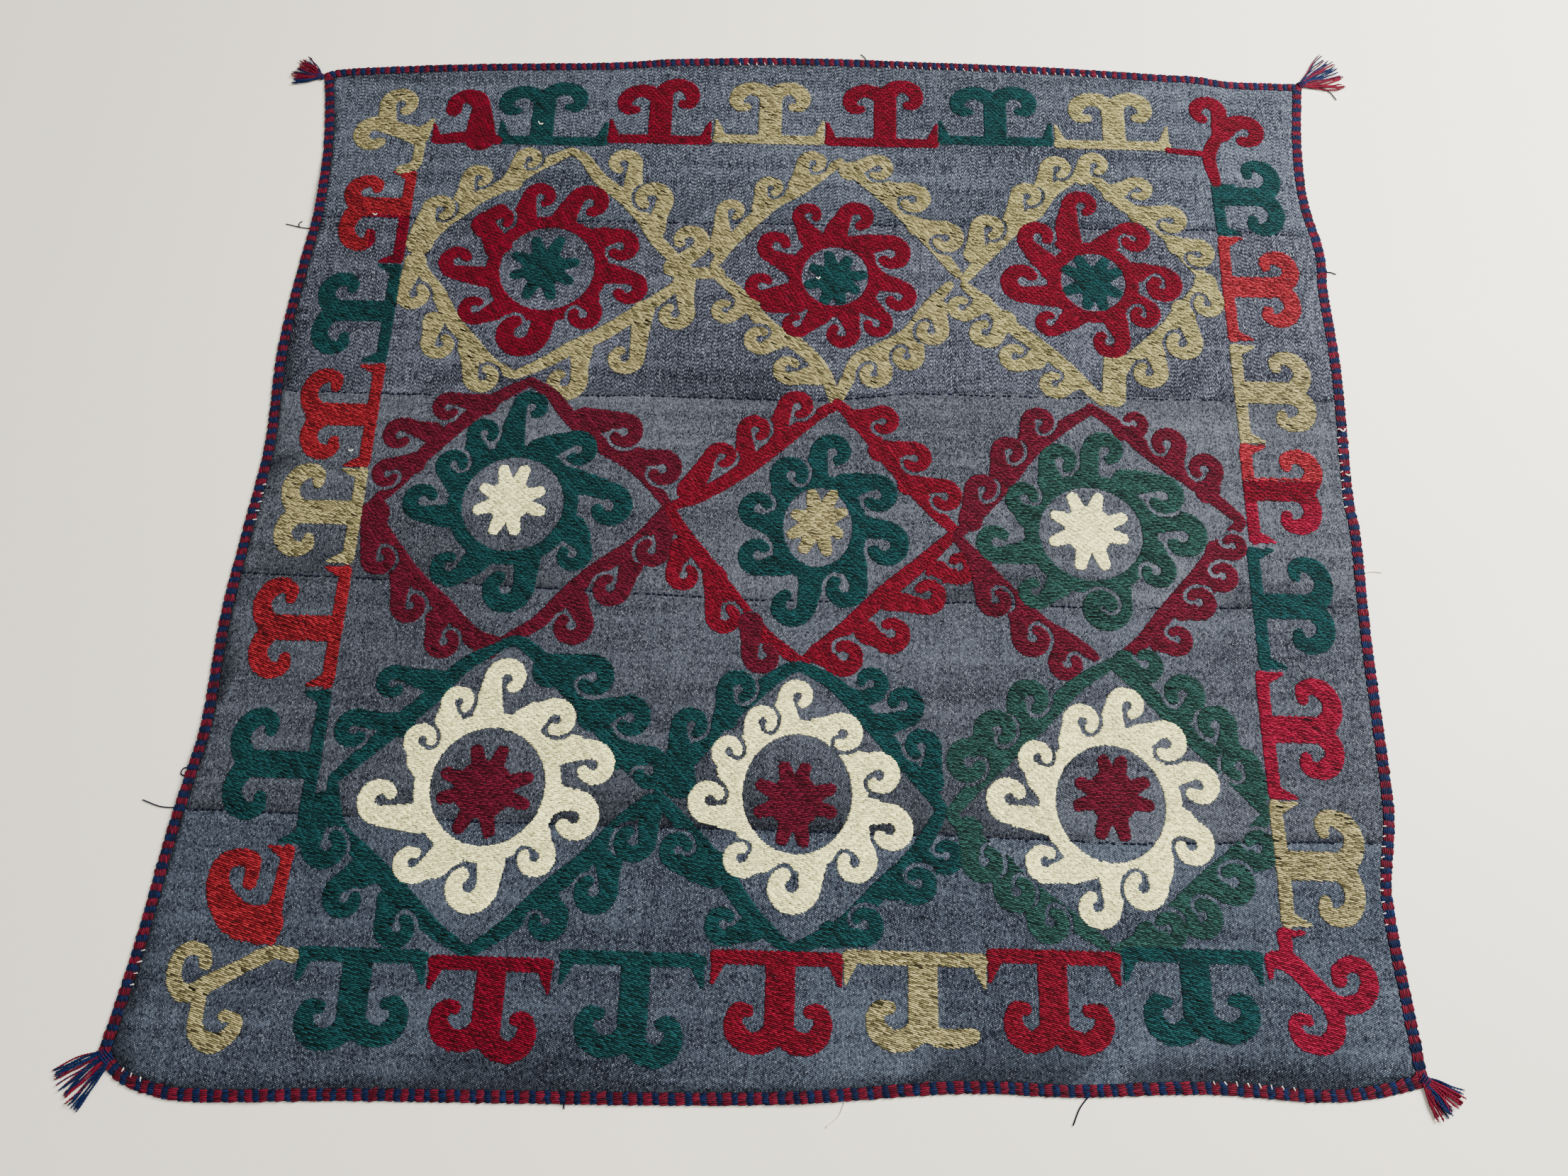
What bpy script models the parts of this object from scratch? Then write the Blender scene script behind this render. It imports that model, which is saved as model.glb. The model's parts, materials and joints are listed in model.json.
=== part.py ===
"""A square embroidered hanging, lying flat: five handwoven panels sewn side by side, a plaited braid
round the edge, and a tassel of the braid's own yarns at each corner. Metres, +Z up."""

import math

import bmesh
import bpy
import numpy as np

# Driving dimensions
CLOTH_THICK = 0.002
BRAID_WIDTH = 0.011
BRAID_THICK = 0.0036
BRAID_SHOULDER = 0.0022
BRAID_CROWN = 0.55  # share of the braid's width that is level on top
GAP = 0.0003
COLUMNS = 44
ROWS = 7
END_CROWDING = 0.35
SETTLING_ROUNDS = 12  # a panel's lines and the two sides depend on each other
SHARP_ANGLE = 40
YARN_WIDE = 0.0013
YARN_HIGH = 0.0015
YARN_PITCH = 0.0017
YARN_SINK = 0.0004  # how far a yarn's end lies inside the roots, above their underside
YARN_DROP = 2.1  # where an upper yarn meets the floor, as a multiple of the roots' reach
YARN_TAIL = 0.6  # where it bends again, as a share of what is left
YARN_LENGTHS = (0.05, 2.4)  # how much the yarns' lengths differ, and how quickly from one to the next
KNOT_RADIUS = 0.0045
KNOT_HALF_HEIGHT = 0.0022
KNOT_SIDES = 10
KNOT_RINGS = 6
ROOT_HEIGHT = 0.0038
ROOT_SIDES = 6

# The tables below are measured from the mean of the cloth's corners. The part's own origin is the
# middle of its box, and this is where that middle lies.
MIDDLE = (0.0081, 0.0037)

# The braid's outer edge, a row for each point where it bows or dips. Columns: along, across
LEFT_EDGE = (
    (-0.668, -0.7190),
    (-0.560, -0.7045),
    (-0.440, -0.6945),
    (-0.360, -0.6840),
    (-0.300, -0.6790),
    (-0.170, -0.6820),
    (-0.060, -0.6760),
    (0.060, -0.6695),
    (0.200, -0.6775),
    (0.340, -0.6710),
    (0.420, -0.6645),
    (0.520, -0.6695),
    (0.600, -0.6800),
    (0.656, -0.6900),
)
RIGHT_EDGE = (
    (-0.654, 0.6945),
    (-0.580, 0.6898),
    (-0.480, 0.6830),
    (-0.440, 0.6845),
    (-0.380, 0.6970),
    (-0.330, 0.7003),
    (-0.160, 0.7020),
    (-0.030, 0.7070),
    (0.030, 0.7050),
    (0.200, 0.7130),
    (0.320, 0.7110),
    (0.380, 0.7130),
    (0.460, 0.7020),
    (0.560, 0.7040),
    (0.672, 0.7170),
)
TOP_EDGE = (
    (-0.690, 0.6560),
    (-0.650, 0.6650),
    (-0.480, 0.6775),
    (-0.280, 0.6855),
    (-0.130, 0.6970),
    (0.000, 0.7010),
    (0.160, 0.6985),
    (0.360, 0.6930),
    (0.540, 0.6825),
    (0.600, 0.6740),
    (0.660, 0.6730),
    (0.717, 0.6720),
)
BOTTOM_EDGE = (
    (-0.719, -0.6660),
    (-0.695, -0.6900),
    (-0.655, -0.7040),
    (-0.600, -0.7090),
    (-0.430, -0.7030),
    (-0.130, -0.6980),
    (0.030, -0.6920),
    (0.200, -0.6770),
    (0.320, -0.6770),
    (0.460, -0.6700),
    (0.575, -0.6740),
    (0.640, -0.6680),
    (0.696, -0.6540),
)

# The four hand-sewn seams, bottom to top, which wander a little. Columns: along, across
SEAMS = (
    ((-0.69, -0.404), (-0.32, -0.409), (0.20, -0.409), (0.40, -0.412), (0.60, -0.405), (0.69, -0.404)),
    ((-0.68, -0.115), (-0.45, -0.120), (-0.04, -0.133), (0.22, -0.129), (0.40, -0.132), (0.70, -0.121)),
    ((-0.67, 0.138), (-0.45, 0.136), (-0.22, 0.142), (0.05, 0.142), (0.15, 0.153), (0.70, 0.158)),
    ((-0.67, 0.406), (-0.35, 0.410), (0.00, 0.413), (0.30, 0.416), (0.56, 0.418), (0.70, 0.408)),
)
PANEL_NAMES = ("panel_bottom", "panel_lower", "panel_middle", "panel_upper", "panel_top")

# Soft rises where the cloth lies clear of the floor.
# Columns: x, y, half_length, half_width, turn_degrees, height
RISES = (
    (0.660, 0.415, 0.150, 0.075, 0, 0.0040),
    (0.640, -0.430, 0.160, 0.080, 10, 0.0042),
    (-0.620, 0.440, 0.140, 0.080, 0, 0.0036),
    (-0.640, -0.370, 0.140, 0.075, -8, 0.0034),
    (0.035, -0.610, 0.150, 0.065, 88, 0.0036),
    (-0.200, 0.640, 0.120, 0.070, 80, 0.0030),
    (0.570, 0.640, 0.110, 0.065, 75, 0.0034),
    (0.180, 0.150, 0.160, 0.060, 10, 0.0026),
    (-0.020, -0.030, 0.130, 0.060, -32, 0.0024),
    (-0.560, -0.640, 0.120, 0.070, 100, 0.0026),
)

# Where each braid that ends in a tassel stops. Columns: edge, end, how far it runs past the cloth's
# corner, how far to its outer side the knot lies
CORNERS = {
    "tassel_top_left": ("top", 0, 0.004, 0.0),
    "tassel_top_right": ("top", -1, 0.004, 0.0),
    "tassel_bottom_left": ("bottom", 0, 0.0, 0.008),
    "tassel_bottom_right": ("bottom", -1, 0.004, 0.0),
}

# The tassels' yarns. Columns: name, direction and spread in degrees, length at the spread's start and
# at its finish, how far out the yarns are pressed together, bend in degrees
TASSELS = (
    ("tassel_top_left", 168, 76, 0.048, 0.040, 0.015, 0),
    ("tassel_top_right", 41, 48, 0.059, 0.076, 0.022, -14),
    ("tassel_bottom_left", 240, 70, 0.043, 0.046, 0.015, -8),
    ("tassel_bottom_right", -60, 52, 0.038, 0.042, 0.015, 10),
)

# Colours as linear red, green and blue
TWILL_COLOUR = (0.115, 0.150, 0.225)
CRIMSON_COLOUR = (0.240, 0.016, 0.030)
NAVY_COLOUR = (0.018, 0.024, 0.085)


def clear_scene():
    for old in list(bpy.data.objects):
        bpy.data.objects.remove(old, do_unlink=True)


def new_collection(name):
    made = bpy.data.collections.new(name)
    bpy.context.scene.collection.children.link(made)
    return made


def yarn_material(name, colour):
    """Wool or cotton: matt, with no metal in it."""
    made = bpy.data.materials.new(name)
    made.use_nodes = True
    shader = made.node_tree.nodes["Principled BSDF"]
    shader.inputs["Base Color"].default_value = (*colour, 1.0)
    shader.inputs["Roughness"].default_value = 0.9
    shader.inputs["Metallic"].default_value = 0.0
    return made


def add_object(name, data, collection, material=None):
    made = bpy.data.objects.new(name, data)
    collection.objects.link(made)
    if material is not None:
        data.materials.append(material)
    return made


def hide_helper(helper):
    helper.hide_render = True
    helper.display_type = "WIRE"


def smooth(table, at):
    """The smooth curve through a table's rows, and its slope, read at one place along it."""
    where, value = np.array(table).T
    chord = np.diff(value) / np.diff(where)
    slope = np.concatenate([chord[:1], (chord[1:] + chord[:-1]) / 2, chord[-1:]])
    at = min(max(at, where[0]), where[-1])
    i = min(int(np.searchsorted(where, at, side="right")) - 1, len(chord) - 1)
    step = where[i + 1] - where[i]
    t = (at - where[i]) / step
    rise = value[i + 1] - value[i]
    bend = slope[i] + slope[i + 1] - 2 * rise / step
    lean = 3 * rise / step - 2 * slope[i] - slope[i + 1]
    height = value[i] + step * t * (slope[i] + t * (lean + t * bend))
    return height, slope[i] + t * (2 * lean + 3 * t * bend)


def cloth_edge(table, inward):
    """The cloth's own edge: the outer edge moved in by the braid's width and a hair of space."""
    margin = inward * (BRAID_WIDTH + GAP)

    def edge(at):
        height, slope = smooth(table, at)
        return height + margin * math.hypot(1, slope)

    return edge


def seam_line(table, side):
    """One side of a seam: the two panels meet with a hair of space between them."""

    def line(at):
        return smooth(table, at)[0] + side * GAP / 2

    return line


cloth_left = cloth_edge(LEFT_EDGE, 1)
cloth_right = cloth_edge(RIGHT_EDGE, -1)
cloth_bottom = cloth_edge(BOTTOM_EDGE, 1)
cloth_top = cloth_edge(TOP_EDGE, -1)


def lift(x, y):
    """How far the cloth's underside stands off the floor."""
    total = 0.0
    for rise_x, rise_y, half_length, half_width, turn, height in RISES:
        c = math.cos(math.radians(turn))
        s = math.sin(math.radians(turn))
        along = ((x - rise_x) * c + (y - rise_y) * s) / half_length
        across = ((y - rise_y) * c - (x - rise_x) * s) / half_width
        inside = max(0.0, 1 - along * along - across * across)
        total += height * inside * inside
    return total


def crowd(u):
    """Sets the grid's columns closer towards the two sides, where the corners curve."""
    return u - END_CROWDING * math.sin(math.tau * u) / math.tau


def cloth_point(u, v, low, high):
    """The cloth's point u of the way across and v of the way up from one line to the next."""
    u = crowd(u)
    x = u - 0.5
    for _ in range(SETTLING_ROUNDS):
        y = low(x) + v * (high(x) - low(x))
        x = cloth_left(y) + u * (cloth_right(y) - cloth_left(y))
    return x, y


def place(x, y, z):
    """A point of the tables, moved to the part's own origin."""
    return (x - MIDDLE[0], y - MIDDLE[1], z)


def make_panel(name, low, high, collection, material):
    """One loom width: a grid bent to the seams and the edges, given the cloth's thickness."""
    mesh = bmesh.new()
    bmesh.ops.create_grid(mesh, x_segments=COLUMNS, y_segments=ROWS, size=0.5)
    for vert in mesh.verts:
        x, y = cloth_point(vert.co.x + 0.5, vert.co.y + 0.5, low, high)
        vert.co = place(x, y, lift(x, y))
    raised = bmesh.ops.extrude_face_region(mesh, geom=mesh.faces[:], use_keep_orig=True)["geom"]
    tops = [v for v in raised if isinstance(v, bmesh.types.BMVert)]
    bmesh.ops.translate(mesh, verts=tops, vec=(0, 0, CLOTH_THICK))
    bmesh.ops.recalc_face_normals(mesh, faces=mesh.faces[:])
    data = bpy.data.meshes.new(name)
    mesh.to_mesh(data)
    mesh.free()
    data.shade_smooth()
    data.set_sharp_from_angle(angle=math.radians(SHARP_ANGLE))
    return add_object(name, data, collection, material)


def side_points(u, lines):
    """The cloth's own boundary along its left or right side, bottom to top."""
    points = []
    for low, high in zip(lines[:-1], lines[1:]):
        first = 0 if low is lines[0] else 1
        points += [cloth_point(u, row / ROWS, low, high) for row in range(first, ROWS + 1)]
    return points


def end_points(v, low, high):
    """The cloth's own boundary along its bottom or top, left to right."""
    return [cloth_point(column / COLUMNS, v, low, high) for column in range(COLUMNS + 1)]


def directions(points):
    """The way that a line runs at each of its points, as unit vectors."""
    steps = np.diff(points, axis=0)
    steps /= np.linalg.norm(steps, axis=1)[:, None]
    mean = np.concatenate([steps[:1], steps[:-1] + steps[1:], steps[-1:]])
    return mean / np.linalg.norm(mean, axis=1)[:, None]


def outward(ways, turn):
    """The directions turned a quarter, away from the cloth: 1 is to the left, -1 to the right."""
    return turn * np.stack([-ways[:, 1], ways[:, 0]], axis=1)


def braid_middle(points, turn):
    """The braid's middle line, its inner edge a hair outside the cloth's boundary."""
    points = np.array(points)
    return points + outward(directions(points), turn) * (GAP + BRAID_WIDTH / 2)


def run_past(line, end, reach):
    """Carries a bottom or top braid past the cloth's corner, above the side braid's end."""
    way = directions(line)[end] * (-1 if end == 0 else 1)
    past = [line[end] + way * reach]
    return np.concatenate([past, line] if end == 0 else [line, past])


def pull_back(line, end, length):
    """Draws a braid's end back along its own run."""
    way = directions(line)[end] * (-1 if end == 0 else 1)
    line[end] -= way * length


def stop_short(line, end, across, inner_face):
    """Draws a side braid's end back until it clears the braid that runs past it."""
    way = directions(line)[end] * (-1 if end == 0 else 1)
    half = np.array([-way[1], way[0]]) * BRAID_WIDTH / 2
    corners = (line[end] + half, line[end] - half)
    over = max(float((corner - inner_face) @ across) for corner in corners) + GAP
    pull_back(line, end, max(over, 0.0) / float(way @ across))


def make_profile(collection):
    """The braid's section: flat below, with rounded shoulders above."""
    half = BRAID_WIDTH / 2
    crown = half * BRAID_CROWN
    section = (
        (-half, 0),
        (-half, BRAID_SHOULDER),
        (-crown, BRAID_THICK),
        (crown, BRAID_THICK),
        (half, BRAID_SHOULDER),
        (half, 0),
    )
    data = bpy.data.curves.new("braid_section", "CURVE")
    spline = data.splines.new("POLY")
    spline.points.add(len(section) - 1)
    for point, (across, up) in zip(spline.points, section):
        point.co = (across, up, 0, 1)
    spline.use_cyclic_u = True
    helper = add_object("braid_section", data, collection)
    hide_helper(helper)
    return helper


def make_braid(name, line, profile, collection, material):
    """A flat plait: its section carried along the cloth's edge, upright all the way."""
    data = bpy.data.curves.new(name, "CURVE")
    data.dimensions = "3D"
    data.twist_mode = "Z_UP"
    data.bevel_mode = "OBJECT"
    data.bevel_object = profile
    data.use_fill_caps = True
    spline = data.splines.new("POLY")
    spline.points.add(len(line) - 1)
    for point, (x, y) in zip(spline.points, line):
        point.co = (*place(x, y, lift(x, y)), 1)
    return add_object(name, data, collection, material)


def make_yarn(name, stations, collection):
    """One yarn of a tassel: a square section carried through its stations, which lie level."""
    points = np.array([station[:2] for station in stations])
    sides = outward(directions(points), 1) * YARN_WIDE / 2
    mesh = bmesh.new()
    rings = []
    for (x, y, z), (side_x, side_y) in zip(stations, sides):
        corners = ((1, 0), (-1, 0), (-1, YARN_HIGH), (1, YARN_HIGH))
        ring = [place(x + side_x * way, y + side_y * way, z + up) for way, up in corners]
        rings.append([mesh.verts.new(corner) for corner in ring])
    for near, far in zip(rings[:-1], rings[1:]):
        for i in range(4):
            mesh.faces.new((near[i], near[i - 1], far[i - 1], far[i]))
    mesh.faces.new(rings[0])
    mesh.faces.new(rings[-1][::-1])
    bmesh.ops.recalc_face_normals(mesh, faces=mesh.faces[:])
    data = bpy.data.meshes.new(name)
    mesh.to_mesh(data)
    mesh.free()
    helper = add_object(name, data, collection)
    hide_helper(helper)
    return helper


def make_roots(name, knot, direction, spread, bound, collection):
    """The stretch where a tassel's yarns are still pressed together: a low fan out of the knot."""
    mesh = bmesh.new()
    half = math.radians(spread) / 2 + YARN_WIDE / bound
    corners = [mesh.verts.new(place(*knot, 0))]
    for i in range(ROOT_SIDES + 1):
        angle = math.radians(direction) + half * (2 * i / ROOT_SIDES - 1)
        out = (knot[0] + bound * math.cos(angle), knot[1] + bound * math.sin(angle))
        corners.append(mesh.verts.new(place(*out, 0)))
    face = mesh.faces.new(corners)
    raised = bmesh.ops.extrude_face_region(mesh, geom=[face], use_keep_orig=True)["geom"]
    tops = [v for v in raised if isinstance(v, bmesh.types.BMVert)]
    bmesh.ops.translate(mesh, verts=tops, vec=(0, 0, ROOT_HEIGHT))
    bmesh.ops.recalc_face_normals(mesh, faces=mesh.faces[:])
    data = bpy.data.meshes.new(name)
    mesh.to_mesh(data)
    mesh.free()
    helper = add_object(name, data, collection)
    hide_helper(helper)
    return helper


def yarn_stations(knot, angle, bend, bound, length, upper):
    """A yarn's way out of the tassel. An upper yarn drops to the floor once there is room for it."""
    on_top = YARN_HIGH + YARN_SINK
    inside = bound - YARN_WIDE
    drop = bound * YARN_DROP
    if upper:
        reaches = (inside, bound, drop, drop + (length - drop) * YARN_TAIL, length)
        heights = (on_top, on_top, on_top, 0, 0)
    else:
        reaches = (inside, bound, (bound + length) / 2, length)
        heights = (YARN_SINK, 0, 0, 0)
    stations = []
    for reach, height in zip(reaches, heights):
        turn = angle + bend * max(reach - bound, 0) / (length - bound)
        stations.append((knot[0] + reach * math.cos(turn), knot[1] + reach * math.sin(turn), height))
    return stations


def make_tassel(row, knot, collection, material):
    """The knot where the braid stops, and the braid's yarns fanned out beyond it on the floor."""
    name, direction, spread, length_first, length_last, bound, bend = row
    helpers = new_collection(name + "_yarns")
    mesh = bmesh.new()
    bmesh.ops.create_uvsphere(mesh, u_segments=KNOT_SIDES, v_segments=KNOT_RINGS, radius=1)
    bmesh.ops.scale(mesh, verts=mesh.verts, vec=(KNOT_RADIUS, KNOT_RADIUS, KNOT_HALF_HEIGHT))
    bmesh.ops.translate(mesh, verts=mesh.verts, vec=place(*knot, KNOT_HALF_HEIGHT))
    data = bpy.data.meshes.new(name)
    mesh.to_mesh(data)
    mesh.free()
    data.shade_smooth()
    tassel = add_object(name, data, collection, material)

    make_roots(name + "_roots", knot, direction, spread, bound, helpers)
    in_layer = int(math.radians(spread) * bound / YARN_PITCH) + 1
    step = math.radians(spread) / in_layer
    start = math.radians(direction - spread / 2)
    for i in range(2 * in_layer - 1):
        share = (i + 1) / (2 * in_layer)
        length = length_first + share * (length_last - length_first)
        length *= 1 + YARN_LENGTHS[0] * math.sin(YARN_LENGTHS[1] * i)
        angle = start + step * (i + 1) / 2
        stations = yarn_stations(knot, angle, math.radians(bend), bound, length, i % 2 == 1)
        make_yarn(f"{name}_yarn_{i:02d}", stations, helpers)

    union = tassel.modifiers.new("yarns", "BOOLEAN")
    union.operation = "UNION"
    union.operand_type = "COLLECTION"
    union.collection = helpers
    helpers.hide_render = True
    return tassel


def main():
    clear_scene()
    parts = new_collection("embroidered_hanging")
    helpers = new_collection("guides")

    lows = [cloth_bottom] + [seam_line(table, 1) for table in SEAMS]
    highs = [seam_line(table, -1) for table in SEAMS] + [cloth_top]
    for name, low, high in zip(PANEL_NAMES, lows, highs):
        make_panel(name, low, high, parts, yarn_material(name + "_twill", TWILL_COLOUR))

    middles = [cloth_bottom] + [seam_line(table, 0) for table in SEAMS] + [cloth_top]
    lines = {
        "left": braid_middle(side_points(0, middles), 1),
        "right": braid_middle(side_points(1, middles), -1),
        "bottom": braid_middle(end_points(0, lows[0], highs[0]), -1),
        "top": braid_middle(end_points(1, lows[-1], highs[-1]), 1),
    }
    knots = {}
    for name, (edge, end, reach, aside) in CORNERS.items():
        side = "left" if end == 0 else "right"
        side_end = 0 if edge == "bottom" else -1
        across = outward(directions(lines[edge]), -1 if edge == "bottom" else 1)[end]
        if reach > 0:
            stop_short(lines[side], side_end, across, lines[edge][end] - across * BRAID_WIDTH / 2)
            lines[edge] = run_past(lines[edge], end, reach)
        else:
            pull_back(lines[side], side_end, 2 * GAP)
        way = directions(lines[edge])[end] * (-1 if end == 0 else 1)
        knots[name] = lines[edge][end] + way * (GAP + KNOT_RADIUS) + across * aside

    profile = make_profile(helpers)
    for side, line in lines.items():
        make_braid("braid_" + side, line, profile, parts, yarn_material("braid_" + side, CRIMSON_COLOUR))

    for row in TASSELS:
        make_tassel(row, knots[row[0]], parts, yarn_material(row[0], NAVY_COLOUR))


main()
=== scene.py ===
# %% [markdown]
# An embroidered wall hanging, laid flat on a pale floor. The ground is five loom widths of blue-grey
# twill sewn edge to edge. On it are nine diamond frames of ram's horn scrolls in wool yarn, each round
# a rosette with a star in it, a border of small horn trees, and a plaited edging in crimson and navy
# that runs out into four tassels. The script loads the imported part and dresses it, piece by piece.

import json
from functools import partial
from math import cos, radians, sin

import bmesh
import bpy
import numpy as np
from mathutils import Matrix, Vector
from mathutils.bvhtree import BVHTree

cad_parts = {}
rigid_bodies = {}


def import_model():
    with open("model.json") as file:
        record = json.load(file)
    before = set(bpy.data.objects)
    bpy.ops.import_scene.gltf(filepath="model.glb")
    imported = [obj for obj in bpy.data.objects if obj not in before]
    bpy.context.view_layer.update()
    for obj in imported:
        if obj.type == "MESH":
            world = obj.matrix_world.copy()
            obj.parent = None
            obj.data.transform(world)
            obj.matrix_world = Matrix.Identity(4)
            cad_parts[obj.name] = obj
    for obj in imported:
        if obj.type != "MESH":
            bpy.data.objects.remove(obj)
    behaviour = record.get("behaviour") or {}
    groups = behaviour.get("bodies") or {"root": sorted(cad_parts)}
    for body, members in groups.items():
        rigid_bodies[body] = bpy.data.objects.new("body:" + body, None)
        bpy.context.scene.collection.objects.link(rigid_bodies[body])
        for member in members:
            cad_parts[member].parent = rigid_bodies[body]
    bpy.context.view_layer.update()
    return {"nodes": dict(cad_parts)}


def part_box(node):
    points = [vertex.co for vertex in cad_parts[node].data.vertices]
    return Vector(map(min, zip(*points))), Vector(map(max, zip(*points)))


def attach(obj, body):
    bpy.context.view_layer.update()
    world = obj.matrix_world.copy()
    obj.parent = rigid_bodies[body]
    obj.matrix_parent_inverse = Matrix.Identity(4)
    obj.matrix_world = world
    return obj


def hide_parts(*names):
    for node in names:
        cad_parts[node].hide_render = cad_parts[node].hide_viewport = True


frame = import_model()

# %% [markdown]
# The picture was taken from 1.35 m up, over the lower part of the cloth, looking down and a little
# forward. So the camera hangs there and leans about twenty degrees off the vertical. Its place and
# its three axes were solved from the four corners of the cloth.

# %% Camera
CAMERA_PLACE = (0.0092, -0.6040, 1.3500)
CAMERA_RIGHT = (0.99954856, 0.0298092, -0.00375327)
CAMERA_UP = (-0.02678607, 0.94074349, 0.33805944)
CAMERA_BACK = (0.01360814, -0.33780629, 0.94111728)
LENS, SENSOR_WIDTH = 27.0, 36.0


def placed(name, data):
    """An object for a camera, a lamp, a curve or a mesh, put in the scene."""
    made = bpy.data.objects.new(name, data)
    bpy.context.scene.collection.objects.link(made)
    return made


camera = placed("camera", bpy.data.cameras.new("camera"))
camera.data.lens = LENS
camera.data.sensor_width = SENSOR_WIDTH
camera.data.sensor_fit = "HORIZONTAL"
axes = Matrix([CAMERA_RIGHT, CAMERA_UP, CAMERA_BACK]).transposed().to_4x4()
camera.matrix_world = Matrix.Translation(CAMERA_PLACE) @ axes
bpy.context.scene.camera = camera
print("camera at", CAMERA_PLACE, "with a lens of", LENS, "mm")

# %% [markdown]
# Colours are written as they look on a screen, from 0 to 255, and turned to the linear values that a
# shader works in. Small helpers add nodes and links, so that each finish reads as a short list.

# %% Helpers for colours and nodes
def linear(red, green, blue):
    """Screen values 0-255 to the linear colour a shader takes."""
    c = np.array([red, green, blue]) / 255.0
    c = np.where(c <= 0.04045, c / 12.92, ((c + 0.055) / 1.055) ** 2.4)
    return (*[float(v) for v in c], 1.0)


def add(tree, kind, inputs=None, **settings):
    """A node with its settings, then its inputs by name or number: a value, or a socket to link."""
    node = tree.nodes.new(kind)
    for name, value in settings.items():
        setattr(node, name, value)
    for name, value in (inputs or {}).items():
        if isinstance(value, bpy.types.NodeSocket):
            tree.links.new(value, node.inputs[name])
        else:
            node.inputs[name].default_value = value
    return node


def maths(tree, operation, a, b=0.0, c=0.0):
    """One Math node and its result."""
    return add(tree, "ShaderNodeMath", {0: a, 1: b, 2: c}, operation=operation).outputs[0]


def mixed(tree, amount, a, b, blend="MIX"):
    """Two colours mixed by an amount."""
    inputs = {0: amount, 6: a, 7: b}
    return add(tree, "ShaderNodeMix", inputs, data_type="RGBA", blend_type=blend).outputs[2]


def spread(tree, value, low, high, new_low=0.0, new_high=1.0):
    """A value's range moved to another range, clamped."""
    inputs = {0: value, 1: low, 2: high, 3: new_low, 4: new_high}
    return add(tree, "ShaderNodeMapRange", inputs).outputs[0]


def noise(tree, place, scale, detail, stretch=None):
    """Noise at a place, which may first be stretched along its axes."""
    if stretch:
        place = add(tree, "ShaderNodeMapping", {"Vector": place, "Scale": stretch}).outputs[0]
    return add(tree, "ShaderNodeTexNoise", {"Vector": place, "Scale": scale, "Detail": detail}).outputs["Fac"]


print("middle grey, 128 on a screen, is", round(linear(128, 128, 128)[0], 3), "to a shader")


# %% Groups and materials
def new_group(name, inputs, outputs):
    """An empty shader group. Inputs are name, kind and default; outputs are name and kind."""
    tree = bpy.data.node_groups.new(name, "ShaderNodeTree")
    for label, kind, default in inputs:
        socket = tree.interface.new_socket(label, in_out="INPUT", socket_type=kind)
        socket.default_value = default
    for label, kind in outputs:
        tree.interface.new_socket(label, in_out="OUTPUT", socket_type=kind)
    source = tree.nodes.new("NodeGroupInput").outputs
    return tree, source, tree.nodes.new("NodeGroupOutput").inputs


def new_material(name):
    """A material with its node tree and its shader's inputs."""
    made = bpy.data.materials.new(name)
    made.use_nodes = True
    return made, made.node_tree, made.node_tree.nodes["Principled BSDF"].inputs


def from_group(name, group, values, distance, strength, specular):
    """A material with its colour and bump from a shader group, its group node and its shader's inputs."""
    made, tree, shader = new_material(name)
    node = add(tree, "ShaderNodeGroup", values, node_tree=group)
    relief = {"Height": node.outputs["Height"], "Distance": distance, "Strength": strength}
    tree.links.new(node.outputs["Colour"], shader["Base Color"])
    tree.links.new(add(tree, "ShaderNodeBump", relief).outputs[0], shader["Normal"])
    shader["Specular IOR Level"].default_value = specular
    return made, node, shader


NUMBER, COLOUR = "NodeSocketFloat", "NodeSocketColor"
print("a group's sockets are of kind", NUMBER, "or", COLOUR)

# %% [markdown]
# The floor is plain and pale. The light is a big soft box to the right, as from a window, with a small
# one to fill the other side, so that the right of the cloth is brighter than the left. A real floor is
# a little uneven in its gloss, so its roughness wanders slightly.

# %% Floor and light
FLOOR_SIZE, FLOOR_DROP = 9.0, 0.0004
AIR_LIGHT = 0.48
# name, place, size, power and colour
LIGHTS = (
    ("window", (2.3, 1.0, 2.3), 1.8, 410.0, (1.0, 0.975, 0.94)),
    ("fill", (-1.2, -1.4, 2.6), 2.4, 26.0, (1.0, 0.98, 0.96)),
)
mesh = bpy.data.meshes.new("floor")
sheet = bmesh.new()
bmesh.ops.create_grid(sheet, x_segments=2, y_segments=2, size=FLOOR_SIZE / 2)
bmesh.ops.translate(sheet, verts=sheet.verts, vec=(0.0, 0.0, -FLOOR_DROP))
sheet.to_mesh(mesh)
sheet.free()
floor = placed("floor", mesh)
floor_paint, tree, shader = new_material("pale_floor")
shader["Base Color"].default_value = linear(242, 236, 219)
place = add(tree, "ShaderNodeTexCoord").outputs["Object"]
clouds = noise(tree, place, 2.2, 2.0)
tree.links.new(spread(tree, clouds, 0.3, 0.7, 0.55, 0.7), shader["Roughness"])
mesh.materials.append(floor_paint)
for name, spot, size, power, tint in LIGHTS:
    lamp = bpy.data.lights.new(name, "AREA")
    lamp.size = size
    lamp.energy = power
    lamp.color = tint
    aim = (Vector((0.0, 0.0, 0.0)) - Vector(spot)).to_track_quat("-Z", "Y")
    placed(name, lamp).matrix_world = Matrix.Translation(spot) @ aim.to_matrix().to_4x4()
room = bpy.data.worlds.new("room")
room.use_nodes = True
room.node_tree.nodes["Background"].inputs["Color"].default_value = linear(244, 244, 244)
room.node_tree.nodes["Background"].inputs["Strength"].default_value = AIR_LIGHT
bpy.context.scene.world = room
print("floor", FLOOR_SIZE, "m square,", len(LIGHTS), "lights")

# %% [markdown]
# The panels were sewn edge to edge and the cloth has been folded, so it puckers a little beside each
# seam and holds a few old creases. One function gives that extra height anywhere on the cloth.

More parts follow.
